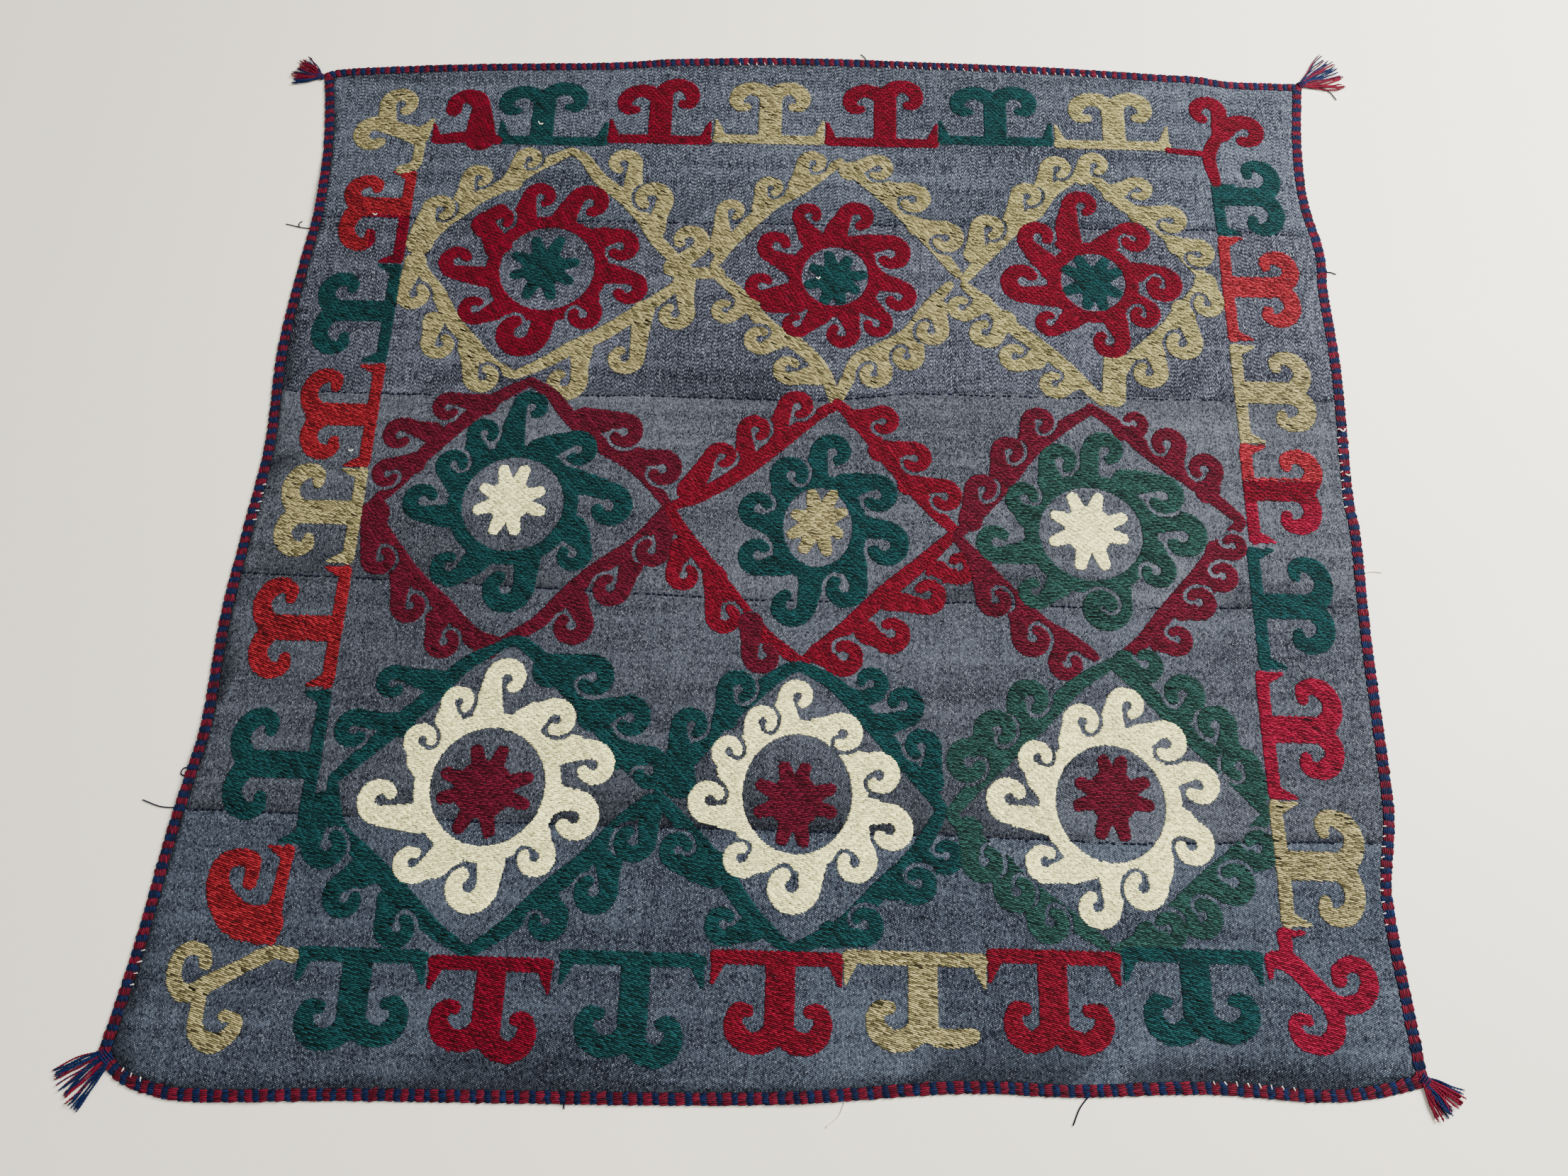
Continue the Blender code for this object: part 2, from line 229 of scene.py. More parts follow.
# %% Puckers and creases
# places are listed from the cloth's middle, in metres, and the part's own origin lies here
MIDDLE = np.array([0.0081, 0.0037])
# the four seams, bottom to top. Columns: along, across
SEAMS = (
    ((-0.69, -0.404), (-0.32, -0.409), (0.20, -0.409), (0.40, -0.412), (0.60, -0.405), (0.69, -0.404)),
    ((-0.68, -0.115), (-0.45, -0.120), (-0.04, -0.133), (0.22, -0.129), (0.40, -0.132), (0.70, -0.121)),
    ((-0.67, 0.138), (-0.45, 0.136), (-0.22, 0.142), (0.05, 0.142), (0.15, 0.153), (0.70, 0.158)),
    ((-0.67, 0.406), (-0.35, 0.410), (0.00, 0.413), (0.30, 0.416), (0.56, 0.418), (0.70, 0.408)),
)
# creases: x, y, half length, half width, turn in degrees, height
CREASES = (
    (0.652, -0.610, 0.070, 0.007, 82, 0.0022),
    (0.025, -0.620, 0.075, 0.008, 90, 0.0014),
    (-0.030, -0.035, 0.060, 0.010, 35, 0.0012),
    (0.180, 0.165, 0.060, 0.008, 25, 0.0014),
    (0.160, 0.200, 0.045, 0.007, -20, 0.0012),
    (-0.640, -0.200, 0.060, 0.008, 80, 0.0012),
    (0.640, 0.200, 0.070, 0.009, 95, 0.0012),
    (0.300, 0.530, 0.050, 0.008, 12, 0.0010),
)
PUCKER_HEIGHT, PUCKER_REACH, PUCKER_LENGTH = 0.0007, 0.022, 0.0072
# half width and half height within which the cloth may lift, and how far it takes to lie down again
FREE_X, FREE_Y, FADE = 0.655, 0.640, 0.03


def pucker(x, y):
    """Height in metres that seams and creases add to the cloth at x and y."""
    lift = np.zeros_like(x)
    for index, seam in enumerate(SEAMS):
        seam_x, seam_y = (np.array(seam) - MIDDLE).T
        off = (y - np.interp(x, seam_x, seam_y)) / PUCKER_REACH
        wave = 0.5 + 0.5 * np.sin(x / PUCKER_LENGTH + 2.1 * np.sin(x * 23 + index))
        lift += PUCKER_HEIGHT * wave * np.exp(-off * off)
    for at_x, at_y, length, width, turn, height in CREASES:
        dx, dy = x - (at_x - MIDDLE[0]), y - (at_y - MIDDLE[1])
        c, s = np.cos(np.radians(turn)), np.sin(np.radians(turn))
        u, v = (dx * c + dy * s) / length, (dy * c - dx * s) / width
        lift += height * np.exp(-u * u) * np.exp(-v * v)
    inside = np.minimum(FREE_X - np.abs(x), FREE_Y - np.abs(y)) / FADE
    return lift * np.clip(inside, 0.0, 1.0)


def merged(names):
    """One bmesh of CAD nodes with their loose triangles joined up."""
    whole = bmesh.new()
    for name in names:
        whole.from_mesh(frame["nodes"][name].data)
    bmesh.ops.remove_doubles(whole, verts=whole.verts, dist=1e-6)
    return whole


print(len(SEAMS), "seams and", len(CREASES), "creases, up to", CREASES[0][-1] * 1000, "mm high")

# %% [markdown]
# The ground is handwoven twill: each warp floats over a few wefts, and its floats sit one step higher
# than its neighbour's, which draws slanting lines called wales. So the finish works the same way. It
# splits the cloth into warps, gives each its own phase, and lays a pale float on the dark weft once a
# repeat. In the lower panels the floats are short beads in clear wales; in the upper two they are long
# upright dashes that fall loosely. Dyeing was uneven: every float has its own tone, a few took no dye
# at all and show as white flecks, and the blue drifts and streaks along the weft.

# %% Twill
weave, source, result = new_group(
    "twill_weave",
    [
        ("Dark", COLOUR, linear(20, 26, 40)), ("Light", COLOUR, linear(110, 118, 134)),
        ("Pitch", NUMBER, 0.9), ("Repeat", NUMBER, 2.1), ("Step", NUMBER, 0.55), ("Loose", NUMBER, 0.1),
    ],
    [("Colour", COLOUR), ("Height", NUMBER)],
)
place = add(weave, "ShaderNodeTexCoord").outputs["Object"]
bent = add(weave, "ShaderNodeTexNoise", {"Vector": place, "Scale": 30.0, "Detail": 1.0}).outputs["Color"]
bent = add(weave, "ShaderNodeVectorMath", {0: bent, 1: (0.5, 0.5, 0.5)}, operation="SUBTRACT").outputs[0]
bent = add(weave, "ShaderNodeVectorMath", {0: bent, 3: 0.0030}, operation="SCALE").outputs[0]
bent = add(weave, "ShaderNodeVectorMath", {0: place, 1: bent}).outputs[0]
axis = add(weave, "ShaderNodeSeparateXYZ", {0: bent}).outputs
x_mm = maths(weave, "MULTIPLY", axis["X"], 1000.0)
y_mm = maths(weave, "MULTIPLY", axis["Y"], 1000.0)
warps = maths(weave, "DIVIDE", x_mm, source["Pitch"])
warp = maths(weave, "FLOOR", warps)
in_warp = maths(weave, "FRACT", warps)
own = add(weave, "ShaderNodeTexWhiteNoise", {"W": warp}, noise_dimensions="1D").outputs["Value"]
climb = maths(weave, "SUBTRACT", y_mm, maths(weave, "MULTIPLY", warp, source["Step"]))
phase = maths(weave, "MULTIPLY_ADD", own, source["Loose"], maths(weave, "DIVIDE", climb, source["Repeat"]))
in_float = maths(weave, "FRACT", phase)
crown = maths(weave, "SINE", maths(weave, "MULTIPLY", in_warp, 3.1416))
hump = maths(weave, "SINE", maths(weave, "MULTIPLY", in_float, 3.1416))
bead = maths(weave, "MULTIPLY", crown, spread(weave, hump, 0.30, 0.80))
cell = add(weave, "ShaderNodeCombineXYZ", {"X": warp, "Y": maths(weave, "FLOOR", phase)}).outputs[0]
lot = add(weave, "ShaderNodeTexWhiteNoise", {"Vector": cell}, noise_dimensions="3D").outputs["Value"]
streak = noise(weave, place, 1.0, 3.5, (1.5, 50.0, 1.0))
upright = noise(weave, place, 1.0, 2.0, (170.0, 7.0, 1.0))
drift = noise(weave, place, 3.1, 3.0)
grain = noise(weave, place, 330.0, 1.0)
light = maths(weave, "MULTIPLY", bead, spread(weave, lot, 0.0, 1.0, 0.20, 1.25))
shift = spread(weave, streak, 0.3, 0.7, -0.12, 0.13)
for uneven, low, high, strength in (
    (upright, 0.3, 0.7, 0.07), (drift, 0.35, 0.65, 0.10), (grain, 0.3, 0.7, 0.20),
):
    shift = maths(weave, "ADD", shift, spread(weave, uneven, low, high, -strength, strength))
light = add(weave, "ShaderNodeClamp", {0: maths(weave, "ADD", light, shift)}).outputs[0]
colour = mixed(weave, light, source["Dark"], source["Light"])
white = maths(weave, "MULTIPLY", bead, spread(weave, lot, 0.93, 0.98, 0.0, 0.7))
colour = mixed(weave, white, colour, linear(150, 155, 166))
weave.links.new(colour, result["Colour"])
weave.links.new(bead, result["Height"])
print("twill from", len(weave.nodes), "nodes")


def twill(name, dark, light, pitch, repeat, step, loose):
    """A cotton twill finish for one panel."""
    values = {"Dark": dark, "Light": light, "Pitch": pitch, "Repeat": repeat, "Step": step, "Loose": loose}
    made, _, shader = from_group(name, weave, values, 0.0005, 0.6, 0.15)
    shader["Roughness"].default_value = 0.95
    return made


# %% [markdown]
# Each panel is a copy of its CAD solid, joined up and divided finely enough to take the puckers. The
# original solids stay for the physics. The area of each panel is measured from its own upper side.

# %% Panels
# name, dark yarn, pale yarn; then warp pitch, repeat and step in millimetres, and how loose the floats fall
CLOTHS = (
    ("bottom", linear(6, 10, 21), linear(91, 101, 116), 0.95, 2.1, 0.55, 0.15),
    ("lower", linear(6, 9, 19), linear(93, 99, 110), 0.95, 2.1, 0.55, 0.15),
    ("middle", linear(8, 11, 21), linear(103, 108, 119), 0.90, 2.1, 0.55, 0.20),
    ("upper", linear(8, 10, 20), linear(97, 102, 116), 1.00, 5.5, 2.30, 1.00),
    ("top", linear(8, 11, 22), linear(99, 107, 121), 1.00, 5.5, 2.30, 1.00),
)


def finish_piece(name, mesh, material):
    """An object at the origin with its material, riding on the part's only body."""
    mesh.materials.append(material)
    mesh.polygons.foreach_set("use_smooth", [True] * len(mesh.polygons))
    made = placed(name, mesh)
    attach(made, "root")
    return made


for part, *finish in CLOTHS:
    node = "panel_" + part
    cloth = merged([node])
    bmesh.ops.subdivide_edges(cloth, edges=cloth.edges, cuts=2, use_grid_fill=True)
    bmesh.ops.triangulate(cloth, faces=cloth.faces)
    spots = np.array([v.co for v in cloth.verts])
    lift = pucker(spots[:, 0], spots[:, 1])
    for vert, up in zip(cloth.verts, lift):
        vert.co.z += up
    area = sum(face.calc_area() for face in cloth.faces if face.normal.z > 0.5)
    mesh = bpy.data.meshes.new("twill_" + part)
    cloth.to_mesh(mesh)
    cloth.free()
    piece = finish_piece("twill_" + part, mesh, twill("twill_" + part, *finish))
    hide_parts(node)
    low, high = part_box(node)


# %% [markdown]
# Everything sewn on the cloth has to lie on it, so the script next learns where its upper side is. It
# drops a ray on the finished panels every four millimetres and keeps the heights in a table. Between
# the rays it reads a weighted mean, which is quick for the many thousands of stitches.

# %% Where the cloth lies
REACH, RAY_STEP = 0.74, 0.004
RAY_START, DOWN = 0.1, Vector((0.0, 0.0, -1.0))


def surface_of(shape):
    """A surface to drop rays on, from a bmesh that isn't needed any more."""
    surface = BVHTree.FromBMesh(shape)
    shape.free()
    return surface


def top_at(surface, x, y, missing=np.nan):
    """Height of a surface at x and y, or another value where there is none."""
    hit = surface.ray_cast(Vector((x, y, RAY_START)), DOWN)[0]
    return missing if hit is None else hit.z


ground = bmesh.new()
for row in CLOTHS:
    ground.from_mesh(bpy.data.objects["twill_" + row[0]].data)
ground = surface_of(ground)
count_rays = int(2 * REACH / RAY_STEP) + 1
ray_line = [step * RAY_STEP - REACH for step in range(count_rays)]
heights = np.array([[top_at(ground, x, y) for x in ray_line] for y in ray_line])
while np.isnan(heights).any():
    shifted = [np.roll(heights, step, axis) for step in (1, -1) for axis in (0, 1)]
    heights = np.where(np.isnan(heights), np.fmax.reduce(shifted), heights)


def cloth_top(x, y):
    """Height of the cloth's upper side at x and y in metres, in the part's frame."""
    u = np.clip((x + REACH) / RAY_STEP, 0, count_rays - 1.001)
    v = np.clip((y + REACH) / RAY_STEP, 0, count_rays - 1.001)
    i, j = u.astype(int), v.astype(int)
    a, b = u - i, v - j
    low = heights[j, i] * (1 - a) + heights[j, i + 1] * a
    high = heights[j + 1, i] * (1 - a) + heights[j + 1, i + 1] * a
    return low * (1 - b) + high * b


print("cloth lies", round(float(heights.min()), 4), "to", round(float(heights.max()), 4), "m up")

# %% [markdown]
# Drawing the horns. On the real hanging a maker draws ram's horn scrolls on the cloth with soap or
# chalk, freehand and each a little different, and then fills them with yarn. They could be built as
# curves, but a filling stitch needs to know what lies inside a shape. So a brush paints each motif on
# a fine grid of half millimetre cells: round dabs of changing width along a smooth line. Every motif
# is described by a few named sizes in short tables, in millimetres from the cloth's middle.

# %% The drawing grid
CELL = 0.5
GRID_WIDTH, GRID_HEIGHT = 1440.0, 1400.0
# how far apart a line's points are, and the power of the sine by which a band swells
BRUSH_STEP, SWELL = 3.0, 0.7
owner = np.zeros((int(GRID_HEIGHT / CELL), int(GRID_WIDTH / CELL)), np.uint8)
print("drawing grid of", owner.shape[1], "by", owner.shape[0], "cells")


def cells_of(low, high):
    """The grid cells of a box as slices, with the cells' own x and y."""
    columns = [int((v + GRID_WIDTH / 2) / CELL) for v in (low[0], high[0])]
    rows = [int((v + GRID_HEIGHT / 2) / CELL) for v in (low[1], high[1])]
    columns = np.clip(columns, 0, owner.shape[1] - 1)
    rows = np.clip(rows, 0, owner.shape[0] - 1)
    x = (np.arange(columns[0], columns[1] + 1) + 0.5) * CELL - GRID_WIDTH / 2
    y = (np.arange(rows[0], rows[1] + 1) + 0.5) * CELL - GRID_HEIGHT / 2
    part = np.s_[rows[0] : rows[1] + 1, columns[0] : columns[1] + 1]
    return part, x[None, :], y[:, None]


# %% Lines and strokes
def smooth_line(points, step=BRUSH_STEP):
    """Rows of numbers, the first two of them x and y, joined by one smooth line through all of them."""
    points = np.asarray(points, float)
    if len(points) == 2:
        return points
    ends = [2 * points[0] - points[1]], [2 * points[-1] - points[-2]]
    p = np.concatenate([ends[0], points, ends[1]])
    line = []
    for a, b, c, d in zip(p, p[1:], p[2:], p[3:]):
        count = max(1, int(np.hypot(*(c - b)[:2]) / step))
        for t in np.arange(count) / count:
            bend = (2 * a - 5 * b + 4 * c - d) * t * t + (3 * b - a - 3 * c + d) * t**3
            line.append(b + 0.5 * ((c - a) * t + bend))
    line.append(points[-1])
    return np.array(line)


def length_along(line):
    """Length along a line, seen from above, up to each of its points."""
    return np.concatenate([[0.0], np.cumsum(np.hypot(*np.diff(line[:, :2], axis=0).T))])


def brush(number, line, only=None):
    """Paints motif `number` along rows of x, y and width, or only over the cells of another motif."""
    for (ax, ay, aw), (bx, by, bw) in zip(line, line[1:]):
        reach = max(aw, bw) / 2 + CELL
        low = min(ax, bx) - reach, min(ay, by) - reach
        high = max(ax, bx) + reach, max(ay, by) + reach
        part, x, y = cells_of(low, high)
        dx, dy = bx - ax, by - ay
        along = ((x - ax) * dx + (y - ay) * dy) / max(dx * dx + dy * dy, 1e-9)
        along = np.clip(along, 0.0, 1.0)
        away = np.hypot(x - ax - along * dx, y - ay - along * dy)
        painted = away <= (aw + (bw - aw) * along) / 2
        if only is not None:
            painted &= owner[part] == only
        owner[part][painted] = number


def stroke(number, points, width, middle=None):
    """A smooth band through some points, with one width at its ends and another at its middle."""
    line = smooth_line(points)
    s = length_along(line)
    s = s / max(s[-1], 1e-9)
    wide = width if middle is None else middle
    widths = width + (wide - width) * np.clip(np.sin(np.pi * s), 0.0, 1.0) ** SWELL
    brush(number, np.column_stack([line, widths]))


def limb_of(number, rows):
    """A band drawn through rows of x, y and width."""
    brush(number, smooth_line(rows))


print("a smooth line has a point every", BRUSH_STEP, "mm")

# %% [markdown]
# One curl of a horn leaves the band at its root, swells round the eye and comes to a blunt end. It is
# one line: straight from the root until it touches a circle round the eye, then a spiral that tightens
# as it turns. The width is fattest at the root and thinnest at the end, as yarn-filled horns are. The
# maker always leaves a channel of bare cloth round the end, or the curl would close to a blob. So once
# all the curls of a motif are painted, a channel is cleared round every end and the ends laid again.

# %% A curl
SWEEP = 240.0
TIGHTEN = 0.34
# the limb's width as a share of the curl's radius, at shares of the way round
WAY_ROUND = (0.0, 0.3, 0.65, 1.0)
WIDTH_SHARES = (0.73, 0.68, 0.59, 0.47)
# how much wider than listed a curl is laid, the width of its channel, and the points of its spiral
YARN_SPREAD, CHANNEL, CURL_POINTS = 2.5, 5.0, 26
# the point of the curl where its channel starts, and where the limb that is laid again starts
CLEARED_FROM, LAID_FROM = 16, 9
# how much wider the root is, the neck's width beside the limb's, and how far along the neck is
FLARE, NECK, NECK_AT = 8.0, 1.04, 0.45


def curl(number, root, eye, radius, turn, limb=24.0, sweep=SWEEP, lean=-1.5):
    """Root and eye are points, radius the outer one, turn +1 anticlockwise or -1 clockwise.

    Lean moves the neck away from the eye.
    """
    root, eye = np.array(root, float), np.array(eye, float)
    radius = radius + YARN_SPREAD
    start_radius = radius * (1 - WIDTH_SHARES[0] / 2)
    gap = root - eye
    distance = max(np.hypot(*gap), start_radius * 1.001)
    start = np.arctan2(gap[1], gap[0]) + turn * np.arccos(start_radius / distance)
    s = np.linspace(0.0, 1.0, CURL_POINTS)
    angle = start + turn * np.radians(sweep) * s
    outer = radius * (1 - TIGHTEN * s * sweep / SWEEP)
    width = np.interp(s, WAY_ROUND, WIDTH_SHARES) * radius
    centre = np.maximum(outer - width / 2, 1.0)
    round_eye = np.column_stack([eye[0] + centre * np.cos(angle), eye[1] + centre * np.sin(angle), width])
    run = round_eye[0, :2] - root
    outward = turn * np.array([run[1], -run[0]]) / max(np.hypot(*run), 1e-9)
    neck = root + run * NECK_AT + outward * lean
    first = np.array([[*(root + outward * lean), limb + FLARE], [*neck, limb * NECK]])
    brush(number, np.concatenate([first, round_eye]))
    return round_eye


def open_channels(number, spirals):
    """Clears bare cloth round the end of each curl, then lays the ends again."""
    for spiral in spirals:
        brush(0, spiral[CLEARED_FROM:] + (0.0, 0.0, 2 * CHANNEL), only=number)
    for spiral in spirals:
        brush(number, spiral[LAID_FROM:])


print("a curl turns", SWEEP, "degrees and ends", WIDTH_SHARES[-1], "of its radius wide")

# %% [markdown]
# The nine diamond frames. Each is a ring of four bands with curls on their outer side. On a real piece
# such frames are drawn freehand and no two are alike, so each gets tables of its own: its bands as
# points, then one row for each curl with root x and y, eye x and y, outer radius and turn, and the
# limb's width where it isn't the usual one.

# %% The list of motifs and one frame
MOTIFS = []


def motif(name, yarn, slope):
    """Starts a motif in one yarn; slope is the way its stitches run, in degrees from level."""
    MOTIFS.append({"name": name, "yarn": yarn, "slope": slope})
    return len(MOTIFS)


BAND_ENDS, BAND_MIDDLE, FRAME_LIMB = 12.0, 21.0, 22.5


def lay_frame(name, yarn, slope, bands, curls):
    """A diamond of bands through the listed points, with its curls."""
    number = motif(name, yarn, slope)
    for points in bands:
        stroke(number, points, BAND_ENDS, BAND_MIDDLE)
    spirals = []
    for row in curls:
        radius, turn, *limb = row[4:]
        spirals.append(curl(number, row[:2], row[2:4], radius, turn, *(limb or [FRAME_LIMB])))
    open_channels(number, spirals)
    print(name, "curls:", len(spirals))


# %% The three upper frames, khaki
lay_frame(
    "frame_upper_left", "khaki", -24.0,
    [
        [(-514, 352), (-490, 395), (-462, 425), (-440, 447), (-405, 470), (-370, 498), (-320, 528)],
        [(-320, 528), (-300, 515), (-275, 480), (-240, 450), (-210, 415), (-185, 375), (-140, 330)],
        [(-514, 345), (-500, 320), (-478, 290), (-455, 250), (-425, 215), (-395, 185), (-362, 168)],
        [(-362, 168), (-325, 188), (-290, 212), (-255, 232), (-200, 275), (-165, 305), (-150, 325)],
    ],
    [
        (-515, 370, -492, 424, 24, -1, 30), (-465, 434, -445, 479, 22, -1), (-400, 474, -378, 512, 20, -1),
        (-228, 462, -246, 508, 25, 1), (-194, 400, -203, 450, 29, 1), (-163, 338, -147, 382, 28, 1),
        (-148, 317, -160, 266, 25, -1), (-200, 270, -222, 198, 25, -1), (-277, 209, -297, 160, 28, -1),
        (-428, 209, -403, 165, 24, 1), (-480, 246, -466, 212, 23, 1), (-517, 338, -510, 288, 25, 1),
    ],
)
lay_frame(
    "frame_upper_middle", "khaki", -28.0,
    [
        [(-110, 345), (-88, 384), (-59, 420), (-31, 450), (3, 472), (34, 499), (57, 519)],
        [(57, 517), (84, 494), (112, 470), (158, 420), (193, 374), (218, 338)],
        [(-112, 334), (-74, 298), (-34, 250), (7, 222), (39, 186), (57, 138)],
        [(57, 138), (74, 180), (86, 204), (116, 220), (151, 244), (177, 284), (206, 321)],
    ],
    [
        (-105, 375, -90, 432, 20, -1), (-50, 440, -38, 472, 20, -1), (0, 480, 20, 516, 21, -1),
        (70, 505, 110, 508, 23, -1), (120, 475, 158, 458, 26, -1), (165, 415, 202, 395, 26, -1),
        (-60, 290, -93, 275, 20, -1), (-20, 230, -45, 232, 23, -1), (30, 178, -5, 188, 22, -1),
        (120, 205, 105, 183, 22, -1), (160, 235, 148, 210, 22, -1), (190, 285, 180, 250, 23, -1),
    ],
)
stroke(len(MOTIFS), [(-150, 330), (-105, 332)], 18.0)
lay_frame(
    "frame_upper_right", "pale_khaki", -19.0,
    [
        [(227, 331), (250, 361), (296, 416), (326, 441), (349, 475), (377, 497), (393, 506)],
        [(393, 508), (415, 495), (440, 465), (470, 440), (500, 415), (520, 385), (548, 342)],
        [(548, 342), (530, 310), (510, 285), (490, 258), (445, 215), (425, 195), (400, 150)],
        [(226, 322), (255, 293), (283, 263), (311, 240), (336, 218), (362, 192), (400, 150)],
    ],
    [
        (240, 372, 262, 412, 24, -1), (294, 425, 317, 468, 22, -1), (337, 477, 360, 515, 22, -1),
        (393, 505, 412, 522, 22, -1), (434, 477, 470, 482, 21, -1), (468, 443, 510, 432, 24, -1),
        (517, 394, 543, 378, 23, -1), (551, 335, 548, 302, 22, -1), (517, 292, 510, 240, 26, -1),
        (474, 231, 463, 195, 24, -1), (363, 178, 340, 176, 22, -1), (317, 209, 290, 215, 22, -1),
        (280, 268, 252, 250, 24, -1), (250, 292, 222, 288, 21, -1),
    ],
)
stroke(len(MOTIFS), [(421, 212), (418, 185), (416, 158)], 30.0)

# %% The three middle frames, burgundy and bright red
lay_frame(
    "frame_middle_left", "burgundy", -18.0,
    [
        [(-520, -18), (-495, 10), (-470, 45), (-440, 80), (-410, 110), (-380, 135), (-340, 160)],
        [(-520, -18), (-505, -50), (-480, -85), (-450, -120), (-415, -150), (-375, -185), (-340, -195)],
        [(-340, 160), (-310, 140), (-285, 110), (-240, 70), (-200, 45), (-170, 15), (-152, -10)],
        [(-153, -17), (-187, -63), (-232, -99), (-267, -134), (-297, -168), (-338, -195)],
    ],
    [
        (-394, 126, -443, 118, 21, 1), (-458, 83, -500, 77, 23, 1), (-477, 40, -508, 22, 20, 1),
        (-517, -31, -500, -92, 22, 1, 28), (-474, -105, -455, -152, 22, 1), (-421, -169, -408, -196, 22, 1),
        (-265, 105, -214, 89, 26, -1, 32), (-197, 55, -161, 38, 26, -1), (-151, -31, -168, -72, 22, -1),
        (-189, -92, -215, -122, 24, -1), (-252, -141, -258, -172, 26, -1),
    ],
)
stroke(len(MOTIFS), [(-375, -190), (-352, -204)], 24.0)
lay_frame(
    "frame_middle", "red", -24.0,
    [
        [(-146, -12), (-107, 6), (-57, 41), (-7, 86), (33, 121), (58, 135)],
        [(58, 139), (89, 108), (124, 63), (159, 18), (189, -17), (208, -36)],
        [(207, -38), (170, -75), (120, -120), (80, -160), (45, -190), (25, -208)],
        [(-149, -14), (-129, -48), (-94, -93), (-64, -133), (-24, -178), (18, -208)],
    ],
    [
        (-126, 12, -86, 58, 20, -1, 25), (-58, 55, -45, 97, 22, -1), (-21, 95, 8, 132, 23, -1),
        (86, 117, 118, 113, 21, -1), (114, 74, 158, 62, 22, -1), (151, 28, 195, 10, 22, -1),
        (185, -92, 212, -82, 22, 1), (123, -129, 172, -120, 24, 1), (98, -172, 128, -170, 25, 1),
        (43, -200, 72, -200, 25, 1), (-132, -68, -125, -103, 21, 1), (-89, -105, -72, -155, 22, 1),
    ],
)
lay_frame("curl_middle_low", "burgundy", -9.0, [], [(-43, -163, -25, -203, 23, 1)])
lay_frame(
    "frame_middle_right", "burgundy", -8.0,
    [
        [(210, -40), (243, -3), (274, 36), (304, 76), (344, 111), (384, 138)],
        [(384, 141), (422, 112), (458, 78), (503, 43), (537, 12), (562, -12)],
        [(562, -14), (533, -48), (493, -98), (458, -138), (428, -173), (399, -195)],
        [(209, -44), (237, -78), (272, -118), (307, -153), (342, -173), (370, -193)],
    ],
    [
        (225, -20, 243, 22, 21, -1), (264, 37, 278, 75, 22, -1), (301, 86, 318, 118, 22, -1),
        (425, 108, 438, 120, 20, 1), (485, 62, 478, 92, 24, 1), (526, 25, 522, 58, 23, 1),
        (529, -55, 548, -45, 18, 1), (511, -95, 532, -85, 20, 1), (480, -132, 500, -120, 22, 1),
        (449, -172, 470, -168, 20, 1), (235, -75, 255, -125, 22, 1), (280, -132, 298, -172, 24, 1),
        (332, -181, 338, -203, 22, 1),
    ],
)

# %% The three lower frames, green
lay_frame(
    "frame_lower_left", "green", -11.0,
    [
        [(-515, -365), (-485, -335), (-450, -300), (-415, -265), (-380, -225), (-340, -200)],
        [(-335, -196), (-318, -194), (-296, -208), (-268, -236), (-240, -263), (-222, -282), (-195, -315),
         (-155, -362)],
        [(-515, -370), (-500, -420), (-460, -455), (-420, -490), (-380, -525), (-340, -550)],
        [(-338, -552), (-297, -523), (-257, -484), (-217, -449), (-182, -409), (-149, -377)],
    ],
    [
        (-410, -245, -462, -250, 21, 1), (-443, -298, -500, -308, 24, 1), (-523, -394, -510, -440, 28, 1),
        (-462, -464, -481, -497, 25, 1, 30), (-430, -500, -418, -527, 24, 1, 26),
        (-278, -227, -226, -236, 27, -1, 34), (-222, -280, -178, -284, 26, -1, 30),
        (-190, -325, -152, -345, 26, -1, 28), (-145, -388, -165, -425, 25, -1),
        (-188, -452, -205, -482, 26, -1), (-249, -498, -255, -515, 25, -1),
    ],
)
lay_frame(
    "frame_lower_middle", "green", -15.0,
    [
        [(-138, -365), (-105, -330), (-75, -290), (-40, -255), (0, -222), (20, -214)],
        [(20, -214), (60, -235), (95, -270), (130, -310), (160, -345), (185, -378)],
        [(186, -381), (154, -433), (114, -473), (73, -512), (20, -538)],
        [(-140, -373), (-102, -412), (-62, -457), (-27, -502), (15, -538)],
    ],
    [
        (-117, -357, -105, -290, 22, -1, 30), (-68, -280, -52, -245, 24, -1), (88, -255, 103, -233, 22, 1),
        (120, -285, 142, -258, 25, 1), (175, -348, 162, -308, 22, 1), (160, -440, 190, -430, 20, 1),
        (130, -468, 158, -462, 22, 1), (62, -522, 98, -508, 22, 1), (-73, -455, -112, -433, 22, -1, 34),
        (-25, -517, -58, -512, 22, -1),
    ],
)
lay_frame(
    "frame_lower_right", "leaf_green", -13.0,
    [
        [(195, -385), (225, -350), (265, -310), (305, -270), (345, -230), (390, -200)],
        [(390, -200), (430, -235), (470, -280), (510, -320), (540, -355), (555, -373)],
        [(555, -375), (521, -416), (475, -455), (436, -490), (399, -517), (375, -528)],
        [(197, -388), (239, -427), (286, -469), (327, -498), (362, -522)],
    ],
    [
        (240, -300, 218, -325, 27, 1), (236, -322, 252, -286, 26, -1, 26), (276, -284, 292, -248, 26, -1, 26),
        (405, -200, 430, -200, 23, 1), (480, -255, 470, -236, 26, 1), (520, -300, 505, -272, 24, 1),
        (550, -345, 528, -320, 23, 1), (520, -425, 540, -412, 24, 1), (485, -458, 510, -450, 25, 1),
        (450, -488, 472, -488, 25, 1), (410, -512, 432, -503, 23, 1), (215, -402, 233, -436, 25, 1),
        (250, -442, 268, -468, 24, 1), (285, -480, 304, -500, 24, 1),
    ],
)

